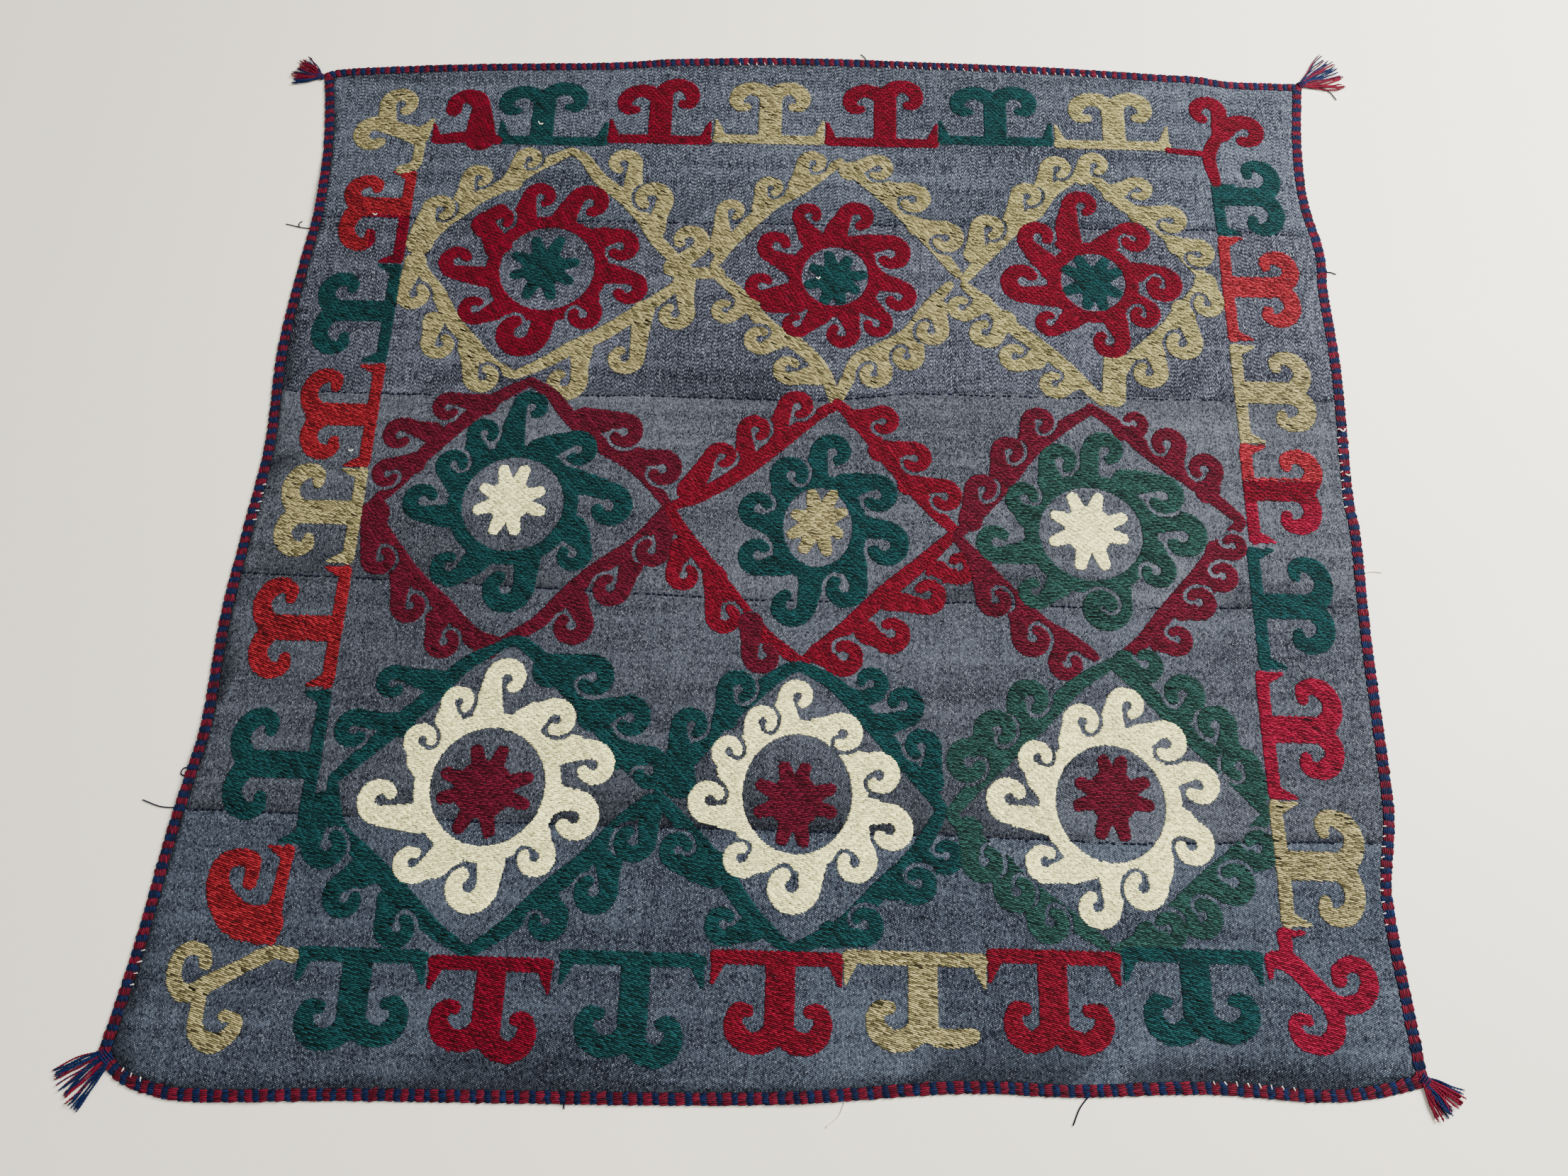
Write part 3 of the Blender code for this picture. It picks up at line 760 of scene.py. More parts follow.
# %% [markdown]
# Inside each frame sits a rosette: a ring of yarn round a hole of bare cloth, with eight to ten short
# curls that all turn the same way, like a wheel. In the hole is a star with eight rays in pairs. The
# ring and the star are both part of an old shared stock of horn and star patterns.

# %% A rosette and a star
RING_WIDTH, RING_POINTS = 18.0, 61
# an arm's limb and lean, and how far its root sinks into the ring
ARM_LIMB, ARM_LEAN, ROOT_SINK = 30.0, 3.5, 13.0
# a ray's widths, then where it starts and ends and how far the body reaches, as shares of its length
RAY_ROOT, RAY_TIP, RAY_FOOT, RAY_REACH, STAR_BODY = 23.0, 14.0, 0.2, 0.87, 0.60


def rosette(name, yarn, slope, hole, arms):
    """A hole is x, y, half width and half height. An arm is root x and y, eye x and y, outer radius,
    and the degrees that it turns through where they aren't the usual ones.
    """
    number = motif(name, yarn, slope)
    x, y, wide, tall = hole
    turn = np.linspace(0.0, 2 * np.pi, RING_POINTS)
    ring_x = x + (wide + RING_WIDTH / 2) * np.cos(turn)
    ring_y = y + (tall + RING_WIDTH / 2) * np.sin(turn)
    brush(number, np.column_stack([ring_x, ring_y, np.full(RING_POINTS, RING_WIDTH)]))
    spirals = []
    for row in arms:
        sweep = row[5] if len(row) > 5 else SWEEP
        inward = np.array([x - row[0], y - row[1]])
        root = np.array(row[:2]) + inward * ROOT_SINK / np.hypot(*inward)
        spirals.append(curl(number, root, row[2:4], row[4], -1, ARM_LIMB, sweep, ARM_LEAN))
    open_channels(number, spirals)
    part, gx, gy = cells_of((x - wide, y - tall), (x + wide, y + tall))
    bare = ((gx - x) / wide) ** 2 + ((gy - y) / tall) ** 2 < 1
    owner[part][bare & (owner[part] == number)] = 0
    print(name, "arms:", len(spirals))


def star(name, yarn, slope, rays):
    """Eight tapering rays from one body to the listed ray ends."""
    number = motif(name, yarn, slope)
    ends = np.array(rays, float)
    centre = ends.mean(axis=0)
    for end in ends:
        inner = centre + (end - centre) * RAY_FOOT
        outer = centre + (end - centre) * RAY_REACH
        brush(number, np.array([[*inner, RAY_ROOT], [*outer, RAY_TIP]]))
    reach = np.abs(ends - centre).max(axis=0) * STAR_BODY
    part, gx, gy = cells_of(centre - reach, centre + reach)
    body = ((gx - centre[0]) / reach[0]) ** 2 + ((gy - centre[1]) / reach[1]) ** 2 < 1
    owner[part][body] = number


# %% Rosettes of the upper row
rosette(
    "rosette_upper_left", "crimson", -26.0, (-336, 333, 64.5, 65.5),
    [
        (-377, 411, -355, 449, 24), (-317, 416, -287, 440, 31), (-414, 372, -408, 409, 24),
        (-404, 317, -458, 342, 27), (-388, 272, -427, 268, 24), (-335, 265, -363, 233, 39),
        (-277, 283, -282, 262, 25), (-258, 323, -225, 303, 28), (-262, 385, -240, 370, 28),
    ],
)
stroke(len(MOTIFS), [(-398, 368), (-436, 400), (-410, 424)], 22.0)
rosette(
    "rosette_upper_middle", "crimson", -24.0, (53, 331, 45, 46),
    [
        (28, 392, 16, 428, 22), (53, 399, 82, 425, 27), (0, 349, -27, 378, 27), (3, 308, -45, 314, 24),
        (37, 277, 2, 256, 20), (62, 280, 62, 243, 24), (85, 285, 108, 258, 22), (101, 323, 138, 300, 25),
        (86, 385, 128, 368, 29),
    ],
)
stroke(len(MOTIFS), [(-32, 286), (2, 286)], 28.0)
rosette(
    "rosette_upper_right", "crimson", -17.0, (399, 331, 43, 45),
    [
        (367, 409, 390, 454, 25), (412, 385, 457, 401, 27, 300), (443, 348, 490, 327, 30, 320),
        (437, 298, 462, 282, 24, 300), (420, 275, 415, 240, 27), (369, 277, 338, 268, 21),
        (338, 309, 305, 331, 32), (335, 360, 328, 401, 28),
    ],
)

# %% Rosettes of the middle row
rosette(
    "rosette_middle_left", "green", -15.0, (-345, -14, 64, 64),
    [
        (-355, 68, -334, 122, 24), (-397, 55, -391, 83, 22), (-412, 6, -425, 38, 23),
        (-415, -31, -458, -12, 27), (-385, -92, -415, -100, 26), (-320, -86, -343, -126, 34),
        (-258, -55, -265, -80, 24), (-277, 25, -225, -15, 31), (-311, 68, -270, 62, 27),
    ],
)
rosette(
    "rosette_middle", "green", -12.0, (37, -35, 43, 53),
    [
        (37, 28, 55, 68, 27), (-5, 10, 3, 36, 27), (-15, -31, -37, -12, 26), (0, -86, -36, -74, 26),
        (25, -95, 6, -138, 29), (83, -86, 70, -114, 28), (86, -37, 120, -58, 32), (80, 28, 110, 10, 28),
    ],
)
rosette(
    "rosette_middle_right", "leaf_green", -3.0, (375, -34, 64, 62),
    [
        (329, 31, 342, 64, 26), (375, 43, 400, 80, 27), (431, 43, 468, 18, 28), (449, -21, 488, -36, 33),
        (452, -55, 452, -82, 24), (400, -95, 385, -130, 33, 360), (332, -98, 302, -112, 22),
        (305, -55, 258, -48, 27), (298, -12, 295, 12, 24),
    ],
)

# %% Rosettes of the lower row
rosette(
    "rosette_lower_left", "cream", -9.0, (-336, -368, 66.5, 68),
    [
        (-341, -280, -326, -240, 26), (-391, -295, -380, -270, 20), (-418, -341, -418, -316, 21),
        (-408, -408, -457, -386, 28), (-381, -455, -412, -456, 23), (-326, -449, -345, -480, 32),
        (-277, -424, -275, -447, 24), (-252, -388, -234, -402, 31), (-249, -320, -217, -341, 27),
        (-289, -283, -264, -288, 25),
    ],
)
rosette(
    "rosette_lower_middle", "cream", -11.0, (20, -366, 63, 69),
    [
        (6, -277, 18, -252, 21), (-31, -311, -22, -283, 20), (-58, -341, -60, -319, 20),
        (-40, -396, -80, -376, 26), (-18, -440, -42, -440, 22), (37, -440, 15, -470, 32),
        (92, -418, 86, -442, 25), (95, -394, 126, -405, 28), (89, -335, 114, -343, 26),
        (37, -292, 72, -296, 25),
    ],
)
rosette(
    "rosette_lower_right", "cream", -15.0, (378, -367, 63, 67),
    [
        (388, -283, 405, -252, 23), (338, -301, 352, -272, 22), (298, -341, 297, -316, 22),
        (316, -391, 263, -364, 28), (341, -443, 300, -434, 23), (372, -452, 356, -482, 25),
        (431, -437, 408, -460, 26), (455, -388, 466, -412, 26), (449, -332, 480, -344, 26),
        (412, -289, 447, -296, 26),
    ],
)

# %% Stars
# yarn, stitch slope, then the eight ray ends in pairs
STARS = {
    "star_upper_left": ("green", -20.0, [
        (-357, 383), (-320, 384), (-362, 285), (-325, 283), (-384, 355), (-384, 320),
        (-293, 345), (-300, 312),
    ]),
    "star_upper_middle": ("green", -20.0, [
        (43, 369), (72, 361), (38, 288), (62, 288), (20, 346), (13, 316), (95, 335), (84, 308),
    ]),
    "star_upper_right": ("green", -20.0, [
        (380, 372), (418, 368), (388, 290), (413, 288), (360, 353), (360, 315), (437, 350), (435, 312),
    ]),
    "star_middle_left": ("cream", -8.0, [
        (-363, 38), (-333, 38), (-367, -56), (-338, -56), (-387, 8), (-393, -25), (-308, 5), (-305, -25),
    ]),
    "star_middle": ("khaki", -8.0, [
        (28, 15), (58, 15), (18, -70), (50, -72), (6, -18), (1, -48), (71, -12), (66, -45),
    ]),
    "star_middle_right": ("cream", -8.0, [
        (352, 20), (388, 20), (358, -83), (392, -82), (327, -8), (323, -48), (420, -10), (420, -42),
    ]),
    "star_lower_left": ("burgundy", -5.0, [
        (-355, -320), (-320, -320), (-367, -423), (-327, -427), (-391, -352), (-393, -385),
        (-283, -355), (-285, -390),
    ]),
    "star_lower_middle": ("burgundy", -5.0, [
        (3, -330), (30, -331), (2, -425), (30, -427), (-27, -355), (-28, -390), (64, -358), (65, -388),
    ]),
    "star_lower_right": ("burgundy", -5.0, [
        (372, -312), (395, -313), (363, -408), (393, -410), (340, -343), (336, -372),
        (423, -340), (427, -370),
    ]),
}
for name, row in STARS.items():
    star(name, *row)
print(len(MOTIFS), "motifs inside the border")

# %% [markdown]
# Round the field runs a border of ram's horn trees: a thin foot bar, a short stem and two curls that
# part at its top. They all point outwards, so each is drawn along its edge and out from the middle,
# and turned to its side of the cloth. The corners get forked horns of their own.

# %% One horn tree
BAR_WIDTH, STEM_WIDTH = 14.5, 32.0
SLOPES = {"top": -15.0, "right": -11.0, "bottom": -15.0, "left": -19.0}
SPIKE_FOOT, SPIKE_TIP = 17.0, 4.0
SPIKE_REACH = {"top": 32.0, "bottom": 27.0, "left": 24.0, "right": 24.0}
SIDES = {"top": (1, 0, 0, 1), "bottom": (1, 0, 0, -1), "right": (0, 1, 1, 0), "left": (0, -1, 1, 0)}
# one horn from the stem's top to its hooked end: share of its reach, share of its depth, width
HORN = (
    (1.00, 0.52, 27.0), (0.76, 0.27, 24.0), (0.48, 0.20, 22.0), (0.24, 0.36, 23.0),
    (0.16, 0.62, 20.0), (0.25, 0.83, 17.0), (0.42, 0.84, 13.0),
)
HORN_DEPTH, CROWN_DROP = 52.0, 26.52
# how far inside a tree's listed ends its bar, its spikes' tips and their feet lie; then how far out
# from the bar's line the spikes and the stem start
BAR_INSET, TIP_INSET, FOOT_INSET, FOOT_RISE, STEM_RISE = 6, 3, 9, 2, 8


def on_side(side, along, out):
    """A point at so much along an edge and so much out from the middle."""
    a, b, c, d = SIDES[side]
    return np.array([a * along + b * out, c * along + d * out], float)


def horn_tree(side, yarn, low, high, level, stem, first, second):
    """Bar from low to high at a level, a stem, and two horns: edge along and top."""
    number = motif(f"horns_{side}_{len(MOTIFS)}", yarn, SLOPES[side])
    place = partial(on_side, side)
    bar = place(low + BAR_INSET, level), place(stem, level), place(high - BAR_INSET, level)
    stroke(number, bar, BAR_WIDTH)
    for edge, inward in ((low, 1), (high, -1)):
        tip = place(edge + TIP_INSET * inward, level + SPIKE_REACH[side])
        foot = place(edge + FOOT_INSET * inward, level + FOOT_RISE)
        limb_of(number, [(*foot, SPIKE_FOOT), (*tip, SPIKE_TIP)])
    foot, crown = place(stem, level + STEM_RISE), place(stem, first[1] - CROWN_DROP)
    limb_of(number, [(*foot, STEM_WIDTH), (*crown, STEM_WIDTH)])
    for edge, top in filter(None, (first, second)):
        limb_of(number, [
            (*place(edge + (stem - edge) * reach, top - HORN_DEPTH * drop), width)
            for reach, drop, width in HORN
        ])
    return number


print("a horn reaches", HORN_DEPTH, "mm down in", len(HORN), "points")

# %% The trees of the border
# side: yarn, bar from, bar to, bar's level, stem, then two horns, each along and top
TREES = {
    "top": (
        ("green", -427, -272, 545, -366, (-432, 640), (-305, 648)),
        ("crimson", -272, -125, 551, -199, (-262, 645), (-147, 657)),
        ("khaki", -122, 35, 555, -43, (-102, 655), (12, 656)),
        ("crimson", 35, 195, 554, 120, (60, 655), (173, 664)),
        ("green", 195, 357, 561, 276, (212, 655), (335, 657)),
        ("pale_khaki", 358, 520, 558, 443, (380, 648), (498, 650)),
    ),
    "right": (
        ("green", 408, 497, 579, 475, (537, 667), (408, 666)),
        ("scarlet", 245, 408, 579, 329, (383, 675), (268, 672)),
        ("khaki", 95, 240, 579, 169, (230, 672), (115, 673)),
        ("bright_crimson", -42, 95, 577, 32, (87, 670), (-28, 663)),
        ("green", -203, -47, 572, -123, (-57, 664), (-182, 660)),
        ("bright_crimson", -358, -205, 566, -275, (-212, 655), (-332, 651)),
        ("khaki", -498, -358, 565, -431, (-366, 658), (-497, 652)),
    ),
    "left": (
        ("crimson", 335, 488, 540, 424, (475, 627), (353, 627)),
        ("green", 182, 335, 540, 260, (318, 638), (192, 638)),
        ("warm_red", 30, 180, 540, 105, (172, 636), (40, 627)),
        ("khaki", -100, 30, 540, -32, (35, 637), (-92, 637)),
        ("warm_red", -257, -103, 540, -184, (-120, 645), (-248, 640)),
        ("green", -440, -260, 540, -350, (-283, 640), (-415, 638)),
    ),
    "bottom": (
        ("green", -523, -380, 557, -455, (-515, 655), (-393, 650)),
        ("crimson", -378, -242, 562, -308, (-370, 652), (-255, 662)),
        ("green", -235, -75, 552, -151, (-213, 653), (-97, 662)),
        ("red", -70, 75, 547, 7, (-52, 645), (63, 645)),
        ("khaki", 75, 232, 543, 162, (100, 638), None),
        ("red", 232, 378, 537, 303, (250, 635), (367, 635)),
        ("green", 380, 533, 531, 458, (400, 623), (525, 620)),
    ),
}
trees = {}
for side, rows in TREES.items():
    for row in rows:
        trees[side, row[1]] = horn_tree(side, *row)
stroke(trees["bottom", 75], [(162, -620), (190, -624), (215, -620)], 15.0, 20.0)
print(len(trees), "horn trees on", len(TREES), "sides")

# %% [markdown]
# In two trees the yarn changes on the way, because a skein ran out or an end was mended with what was
# at hand. The grid makes that simple: the cells above a level, or farther out than a line, change hands.

# %% Trees in more than one yarn
# which tree by side and first end, then the yarn above a level in y and farther out than a line
RUN_OUT = (
    ("left", 335, "warm_red", 412, 584),
    ("right", -42, "crimson", 12, 999),
    ("right", -42, "scarlet", 44, 999),
)
out_from_middle = np.abs((np.arange(owner.shape[1]) + 0.5) * CELL - GRID_WIDTH / 2)
for side, low, yarn_name, limit, outer in RUN_OUT:
    number = motif(f"horns_{side}_{len(MOTIFS)}", yarn_name, SLOPES[side])
    above = slice(int((limit + GRID_HEIGHT / 2) / CELL), None)
    # the tree's own yarn, then the one that the change before gave it
    for old in (trees[side, low], number - 1):
        if MOTIFS[old - 1]["name"].startswith("horns_" + side):
            owner[above][owner[above] == old] = number
            owner[(owner == old) & (out_from_middle > outer)] = number
print(len(RUN_OUT), "changes of yarn")

# %% [markdown]
# At the corners two borders meet, and a tree would not fit. The maker filled each corner differently:
# one with a fork of two curls, others with forks or half horns drawn in a single sweep. They are drawn
# the same way here, most of them as limbs with a width at every point.

# %% Corner horns
def corner_horns(name, yarn, slope, bands=(), limbs=(), hooks=()):
    """Bands are points with their end and middle widths, limbs rows of x, y and width, hooks curls."""
    number = motif(name, yarn, slope)
    for band in bands:
        stroke(number, *band)
    for rows in limbs:
        limb_of(number, rows)
    open_channels(number, [curl(number, *hook) for hook in hooks])


corner_horns(
    "corner_top_left", "khaki", -8.0,
    bands=[([(-556, 489), (-537, 500), (-536, 545)], 15.0)],
    limbs=[[(-536, 552, 24), (-522, 577, 5)]],
    hooks=[((-590, 568), (-571, 603), 29, -1), ((-540, 550), (-603, 547), 32, 1)],
)
corner_horns("half_horn_top_left", "crimson", -30.0, limbs=[
    [(-514, 543, 15), (-497, 545, 18), (-475, 548, 19), (-440, 547, 17), (-428, 544, 15)],
    [(-514, 548, 12), (-519, 569, 4)],
    [(-452, 548, 44), (-454, 575, 36), (-456, 598, 27), (-463, 615, 27), (-479, 620, 23), (-493, 611, 21),
     (-495, 596, 23)],
])
corner_horns(
    "corner_top_right", "crimson", -8.0,
    bands=[([(517, 552), (545, 548), (575, 545)], 9.0), ([(579, 497), (574, 545), (598, 594)], 13.0, 19.0)],
    hooks=[((596, 594), (574, 617), 28, 1, 22.0), ((594, 584), (627, 583), 31, -1, 22.0)],
)
corner_horns("corner_bottom_right", "bright_crimson", -15.0, limbs=[
    [(559, -506, 16), (560, -522, 14)], [(563, -505, 10), (580, -503, 5)], [(541, -531, 12), (540, -550, 5)],
    [(545, -532, 17), (560, -534, 22), (578, -550, 22), (592, -566, 22), (603, -575, 22)],
    [(600, -573, 20), (615, -578, 19), (635, -573, 20), (646, -556, 20), (642, -540, 18), (629, -534, 17),
     (615, -542, 17), (614, -551, 16)],
    [(603, -580, 21), (605, -594, 19), (602, -609, 20), (587, -619, 19), (567, -614, 18), (560, -601, 14),
     (565, -593, 13), (575, -594, 12)],
])
corner_horns("half_horn_left", "warm_red", -17.0, limbs=[
    [(-552, -447, 14), (-554, -470, 14), (-556, -500, 15), (-557, -512, 18)],
    [(-556, -450, 13), (-574, -443, 4)],
    [(-566, -528, 43), (-578, -528, 40), (-600, -521, 38), (-620, -499, 29), (-626, -478, 24),
     (-621, -462, 21), (-606, -456, 19), (-591, -460, 19), (-589, -474, 16), (-590, -484, 15)],
    [(-555, -515, 14), (-556, -543, 14)],
])
corner_horns("corner_bottom_left", "khaki", -17.0, limbs=[
    [(-529, -560, 16), (-545, -557, 14), (-560, -561, 17), (-580, -572, 16), (-600, -583, 18),
     (-620, -594, 20)],
    [(-622, -598, 20), (-640, -602, 19), (-652, -592, 17), (-655, -575, 16), (-650, -560, 15),
     (-637, -555, 15), (-625, -561, 14), (-622, -571, 14)],
    [(-622, -604, 15), (-622, -618, 15), (-622, -632, 17), (-616, -645, 20), (-601, -652, 20),
     (-585, -646, 17), (-577, -634, 15), (-578, -627, 13), (-591, -624, 13)],
])
print(len(MOTIFS), "motifs cover", round(float((owner > 0).mean()), 3), "of the drawing grid")

# %% [markdown]
# Wool yarn. The same finish serves every colour: a strand is lightest along its crown and darker in the
# valleys beside it, at its pointed ends and in short dashes between strands, all of it painted shade.
# Each stitch has its own tone because the yarn was dyed in small lots, and fine fibres run along it. The
# stitches carry a UV map, along and across, and two values of their own.

# %% Yarn finish
# Valley_Shade and Gap_Shade set how much painted shade goes into the valleys beside each strand and into
# dashes between strands
yarn, source, result = new_group(
    "wool_yarn",
    [
        ("Yarn", COLOUR, linear(150, 20, 40)), ("Valley_Shade", NUMBER, 0.7),
        ("Drift", NUMBER, 0.5), ("Gap_Shade", NUMBER, 0.5),
    ],
    [("Colour", COLOUR), ("Roughness", NUMBER), ("Height", NUMBER)],
)
strand = add(yarn, "ShaderNodeUVMap", uv_map="strand").outputs[0]
axis = add(yarn, "ShaderNodeSeparateXYZ", {0: strand}).outputs
side = maths(yarn, "ABSOLUTE", axis["Y"])
tone = add(yarn, "ShaderNodeAttribute", attribute_name="tone").outputs["Fac"]
tip = add(yarn, "ShaderNodeAttribute", attribute_name="tip").outputs["Fac"]
hairs = noise(yarn, strand, 1.0, 3.0, (0.35, 5.0, 1.0))
gap = spread(yarn, noise(yarn, strand, 1.0, 1.0, (0.20, 0.40, 1.0)), 0.56, 0.63)
patch = noise(yarn, add(yarn, "ShaderNodeTexCoord").outputs["Object"], 17.0, 2.0)
# painted shade: darker towards the strand's sides, at its pointed ends and in noise dashes between strands,
# mixed towards a dark copy of the yarn
shade = maths(yarn, "MULTIPLY", spread(yarn, side, 0.15, 0.80), source["Valley_Shade"])
shade = maths(yarn, "MULTIPLY_ADD", tip, 0.5, shade)
shade = add(yarn, "ShaderNodeClamp", {0: maths(yarn, "MULTIPLY_ADD", gap, source["Gap_Shade"], shade)}).outputs[0]
dark = mixed(yarn, 1.0, source["Yarn"], (0.10, 0.09, 0.10, 1.0), "MULTIPLY")
colour = mixed(yarn, shade, source["Yarn"], dark)
# each stitch's tone, which for the filling stitches also carries the painted shade and painted light of their
# rows
value = maths(yarn, "MULTIPLY_ADD", tone, source["Drift"], 1.0)
value = maths(yarn, "ADD", value, spread(yarn, hairs, 0.3, 0.7, -0.13, 0.13))
value = maths(yarn, "ADD", value, spread(yarn, patch, 0.3, 0.7, -0.10, 0.10))
colour = add(yarn, "ShaderNodeHueSaturation", {"Color": colour, "Value": value}).outputs[0]
yarn.links.new(colour, result["Colour"])
yarn.links.new(spread(yarn, hairs, 0.3, 0.7, 0.62, 0.85), result["Roughness"])
yarn.links.new(hairs, result["Height"])


def wool(name, colour, valley_shade=0.7, drift=0.5, gaps=0.5):
    """A yarn finish in one colour."""
    values = {"Yarn": colour, "Valley_Shade": valley_shade, "Drift": drift, "Gap_Shade": gaps}
    made, node, shader = from_group(name, yarn, values, 0.0002, 0.5, 0.1)
    made.node_tree.links.new(node.outputs["Roughness"], shader["Roughness"])
    return made


print("wool from", len(yarn.nodes), "nodes")

# %% Dyed yarns
# screen colour, then how dark the painted shade in its valleys is, how far stitches differ in tone, and how
# strong the painted shade in its gaps shows
DYES = {
    "khaki": ((153, 144, 99), 0.95, 0.65, 0.35),
    "pale_khaki": ((158, 150, 101), 0.95, 0.62, 0.35),
    "cream": ((255, 252, 184), 0.42, 0.28, 0.45),
    "crimson": ((100, 2, 28),),
    "red": ((104, 7, 30),),
    "bright_crimson": ((120, 5, 40),),
    "warm_red": ((125, 24, 34),),
    "scarlet": ((134, 29, 41),),
    "burgundy": ((83, 13, 33),),
    "green": ((16, 56, 58), 0.75, 0.60),
    "leaf_green": ((33, 65, 59), 0.75, 0.60),
}
YARNS = {name: wool(name + "_wool", linear(*dye), *rest) for name, (dye, *rest) in DYES.items()}
print(len(YARNS), "dyed yarns")

# %% [markdown]
# Filling stitches. On the real cloth a long thread is laid across the shape and tied down with small
# slanting stitches of the same yarn, row after row, so the surface is a field of short raised dashes
# that all lean the same way and break like brickwork. Sixty thousand of them would be far too slow
# one by one. One small stitch is modelled, a three-sided bar with pointed ends and a dozen
# triangles, and its copies are laid by sums on whole arrays: rows across each painted shape, cut into
# lengths, every copy with its own length, lean and tone.

# %% One stitch
SHOULDER = 0.74


def pointed_bar(sides, shoulder=SHOULDER):
    """A bar with pointed ends: corner places (along, across, up) and triangles."""
    bar = bmesh.new()
    bmesh.ops.create_cone(bar, cap_ends=True, segments=sides, radius1=1.0, radius2=1.0, depth=2 * shoulder)
    caps = [face for face in bar.faces if abs(face.normal.z) > 0.9]
    bmesh.ops.triangulate(bar, faces=[face for face in bar.faces if face not in caps])
    points = bmesh.ops.poke(bar, faces=caps)["verts"]
    for vert in points:
        vert.co.z = np.sign(vert.co.z)
    bmesh.ops.rotate(bar, verts=bar.verts, matrix=Matrix.Rotation(radians(90), 3, "Y"))
    bmesh.ops.rotate(bar, verts=bar.verts, matrix=Matrix.Rotation(radians(90), 3, "X"))
    bmesh.ops.recalc_face_normals(bar, faces=bar.faces)
    bar.verts.index_update()
    corners = np.array([vert.co for vert in bar.verts])
    triangles = np.array([[vert.index for vert in face.verts] for face in bar.faces])
    bar.free()
    return corners, triangles


stitch_corners, stitch_triangles = pointed_bar(3)
print("one stitch", len(stitch_triangles), "triangles, corners", np.round(stitch_corners, 2).tolist())

# %% Many copies in one mesh
# the widest that a three-sided bar is from its middle line, when its corners are 1 from it
WIDEST = 0.8660254
# one generator with a fixed seed, so that every run lays the same stitches
SEED = 20
random = np.random.default_rng(SEED)


def keep_values(mesh, label, values):
    """A number of its own for every point of a mesh, which its finish reads by name."""
    store = mesh.attributes.new(label, "FLOAT", "POINT")
    store.data.foreach_set("value", np.asarray(values, np.float32))


def lay_copies(name, material, corners, triangles, middle, along, up, size, tone, bow=None):
    """Copies of a bar in one mesh, at rows of vectors.

    A size is half length, half width and height. Tone is each copy's own shade and bow its bend.
    """
    count = len(middle)
    across = np.cross(up, along)
    s, a, h = corners.T
    bend = np.zeros(count) if bow is None else bow
    places = middle[:, None, :] + along[:, None, :] * (s * size[:, 0:1])[..., None]
    places += across[:, None, :] * (a / WIDEST * size[:, 1:2] + bend[:, None] * (1 - s * s))[..., None]
    places += up[:, None, :] * (h * size[:, 2:3])[..., None]
    mesh = bpy.data.meshes.new(name)
    mesh.vertices.add(count * len(corners))
    mesh.vertices.foreach_set("co", places.ravel())
    loops = (triangles[None] + len(corners) * np.arange(count)[:, None, None]).ravel()
    mesh.loops.add(len(loops))
    mesh.loops.foreach_set("vertex_index", loops)
    mesh.polygons.add(len(loops) // 3)
    mesh.polygons.foreach_set("loop_start", np.arange(0, len(loops), 3))
    mesh.update()
    start = random.uniform(0, 50, count)
    uv = np.empty((count, len(corners), 2))
    uv[..., 0] = start[:, None] + s * size[:, 0:1] * 1000
    uv[..., 1] = a / WIDEST
    uv = uv.reshape(-1, 2)[loops]
    mesh.uv_layers.new(name="strand").data.foreach_set("uv", uv.ravel())
    keep_values(mesh, "tone", np.repeat(tone, len(corners)))
    keep_values(mesh, "tip", np.tile(np.abs(s) > 0.95, count))
    print(name, "copies:", count)
    return finish_piece(name, mesh, material)


# %% [markdown]
# The length, thickness and spacing of the stitches differ from yarn to yarn. Where a row of couching
# pulls the laid thread down, its stitches lie low and in shade, and the rows between them stand up in
# the light. So nearly all the stitches of every second row are laid lower and given painted shade in
# their tone, and the raised rows painted light; after each dark run the rows swap, which gives the
# short slanting dashes that the real surface shows.

# %% Cut a painted shape into stitches
# yarn kinds: row spacing, stitch length and height, and how far one low row with painted shade runs, in
# millimetres
KHAKI_GAUGE, GREEN_GAUGE = (1.95, 9.0, 1.5, 10.0), (1.85, 8.0, 1.3, 13.0)
GAUGE = {
    "khaki": KHAKI_GAUGE, "pale_khaki": KHAKI_GAUGE, "cream": (1.90, 9.0, 1.3, 9.0),
    "green": GREEN_GAUGE, "leaf_green": GREEN_GAUGE,
    "scarlet": (2.30, 9.0, 1.3, 30.0), "warm_red": (2.20, 9.0, 1.3, 24.0),
}
PLAIN_GAUGE = (1.90, 8.0, 1.2, 18.0)
# the shortest stitch, how far one runs under the next, and how far a row may pass the drawn edge
SHORTEST, OVERLAP, RAGGED = 2.4, 0.7, 1.1
# how far each pair of rows is shifted along, and how far a cut strays, in stitch lengths
ROW_SHIFT, CUT_STRAY = 0.37, 0.12
# rows of real stitches waver: height and length of a long and of a short wave
SWAY, SWAY_LENGTH, RIPPLE, RIPPLE_LENGTH = 0.55, 19.0, 0.3, 7.3


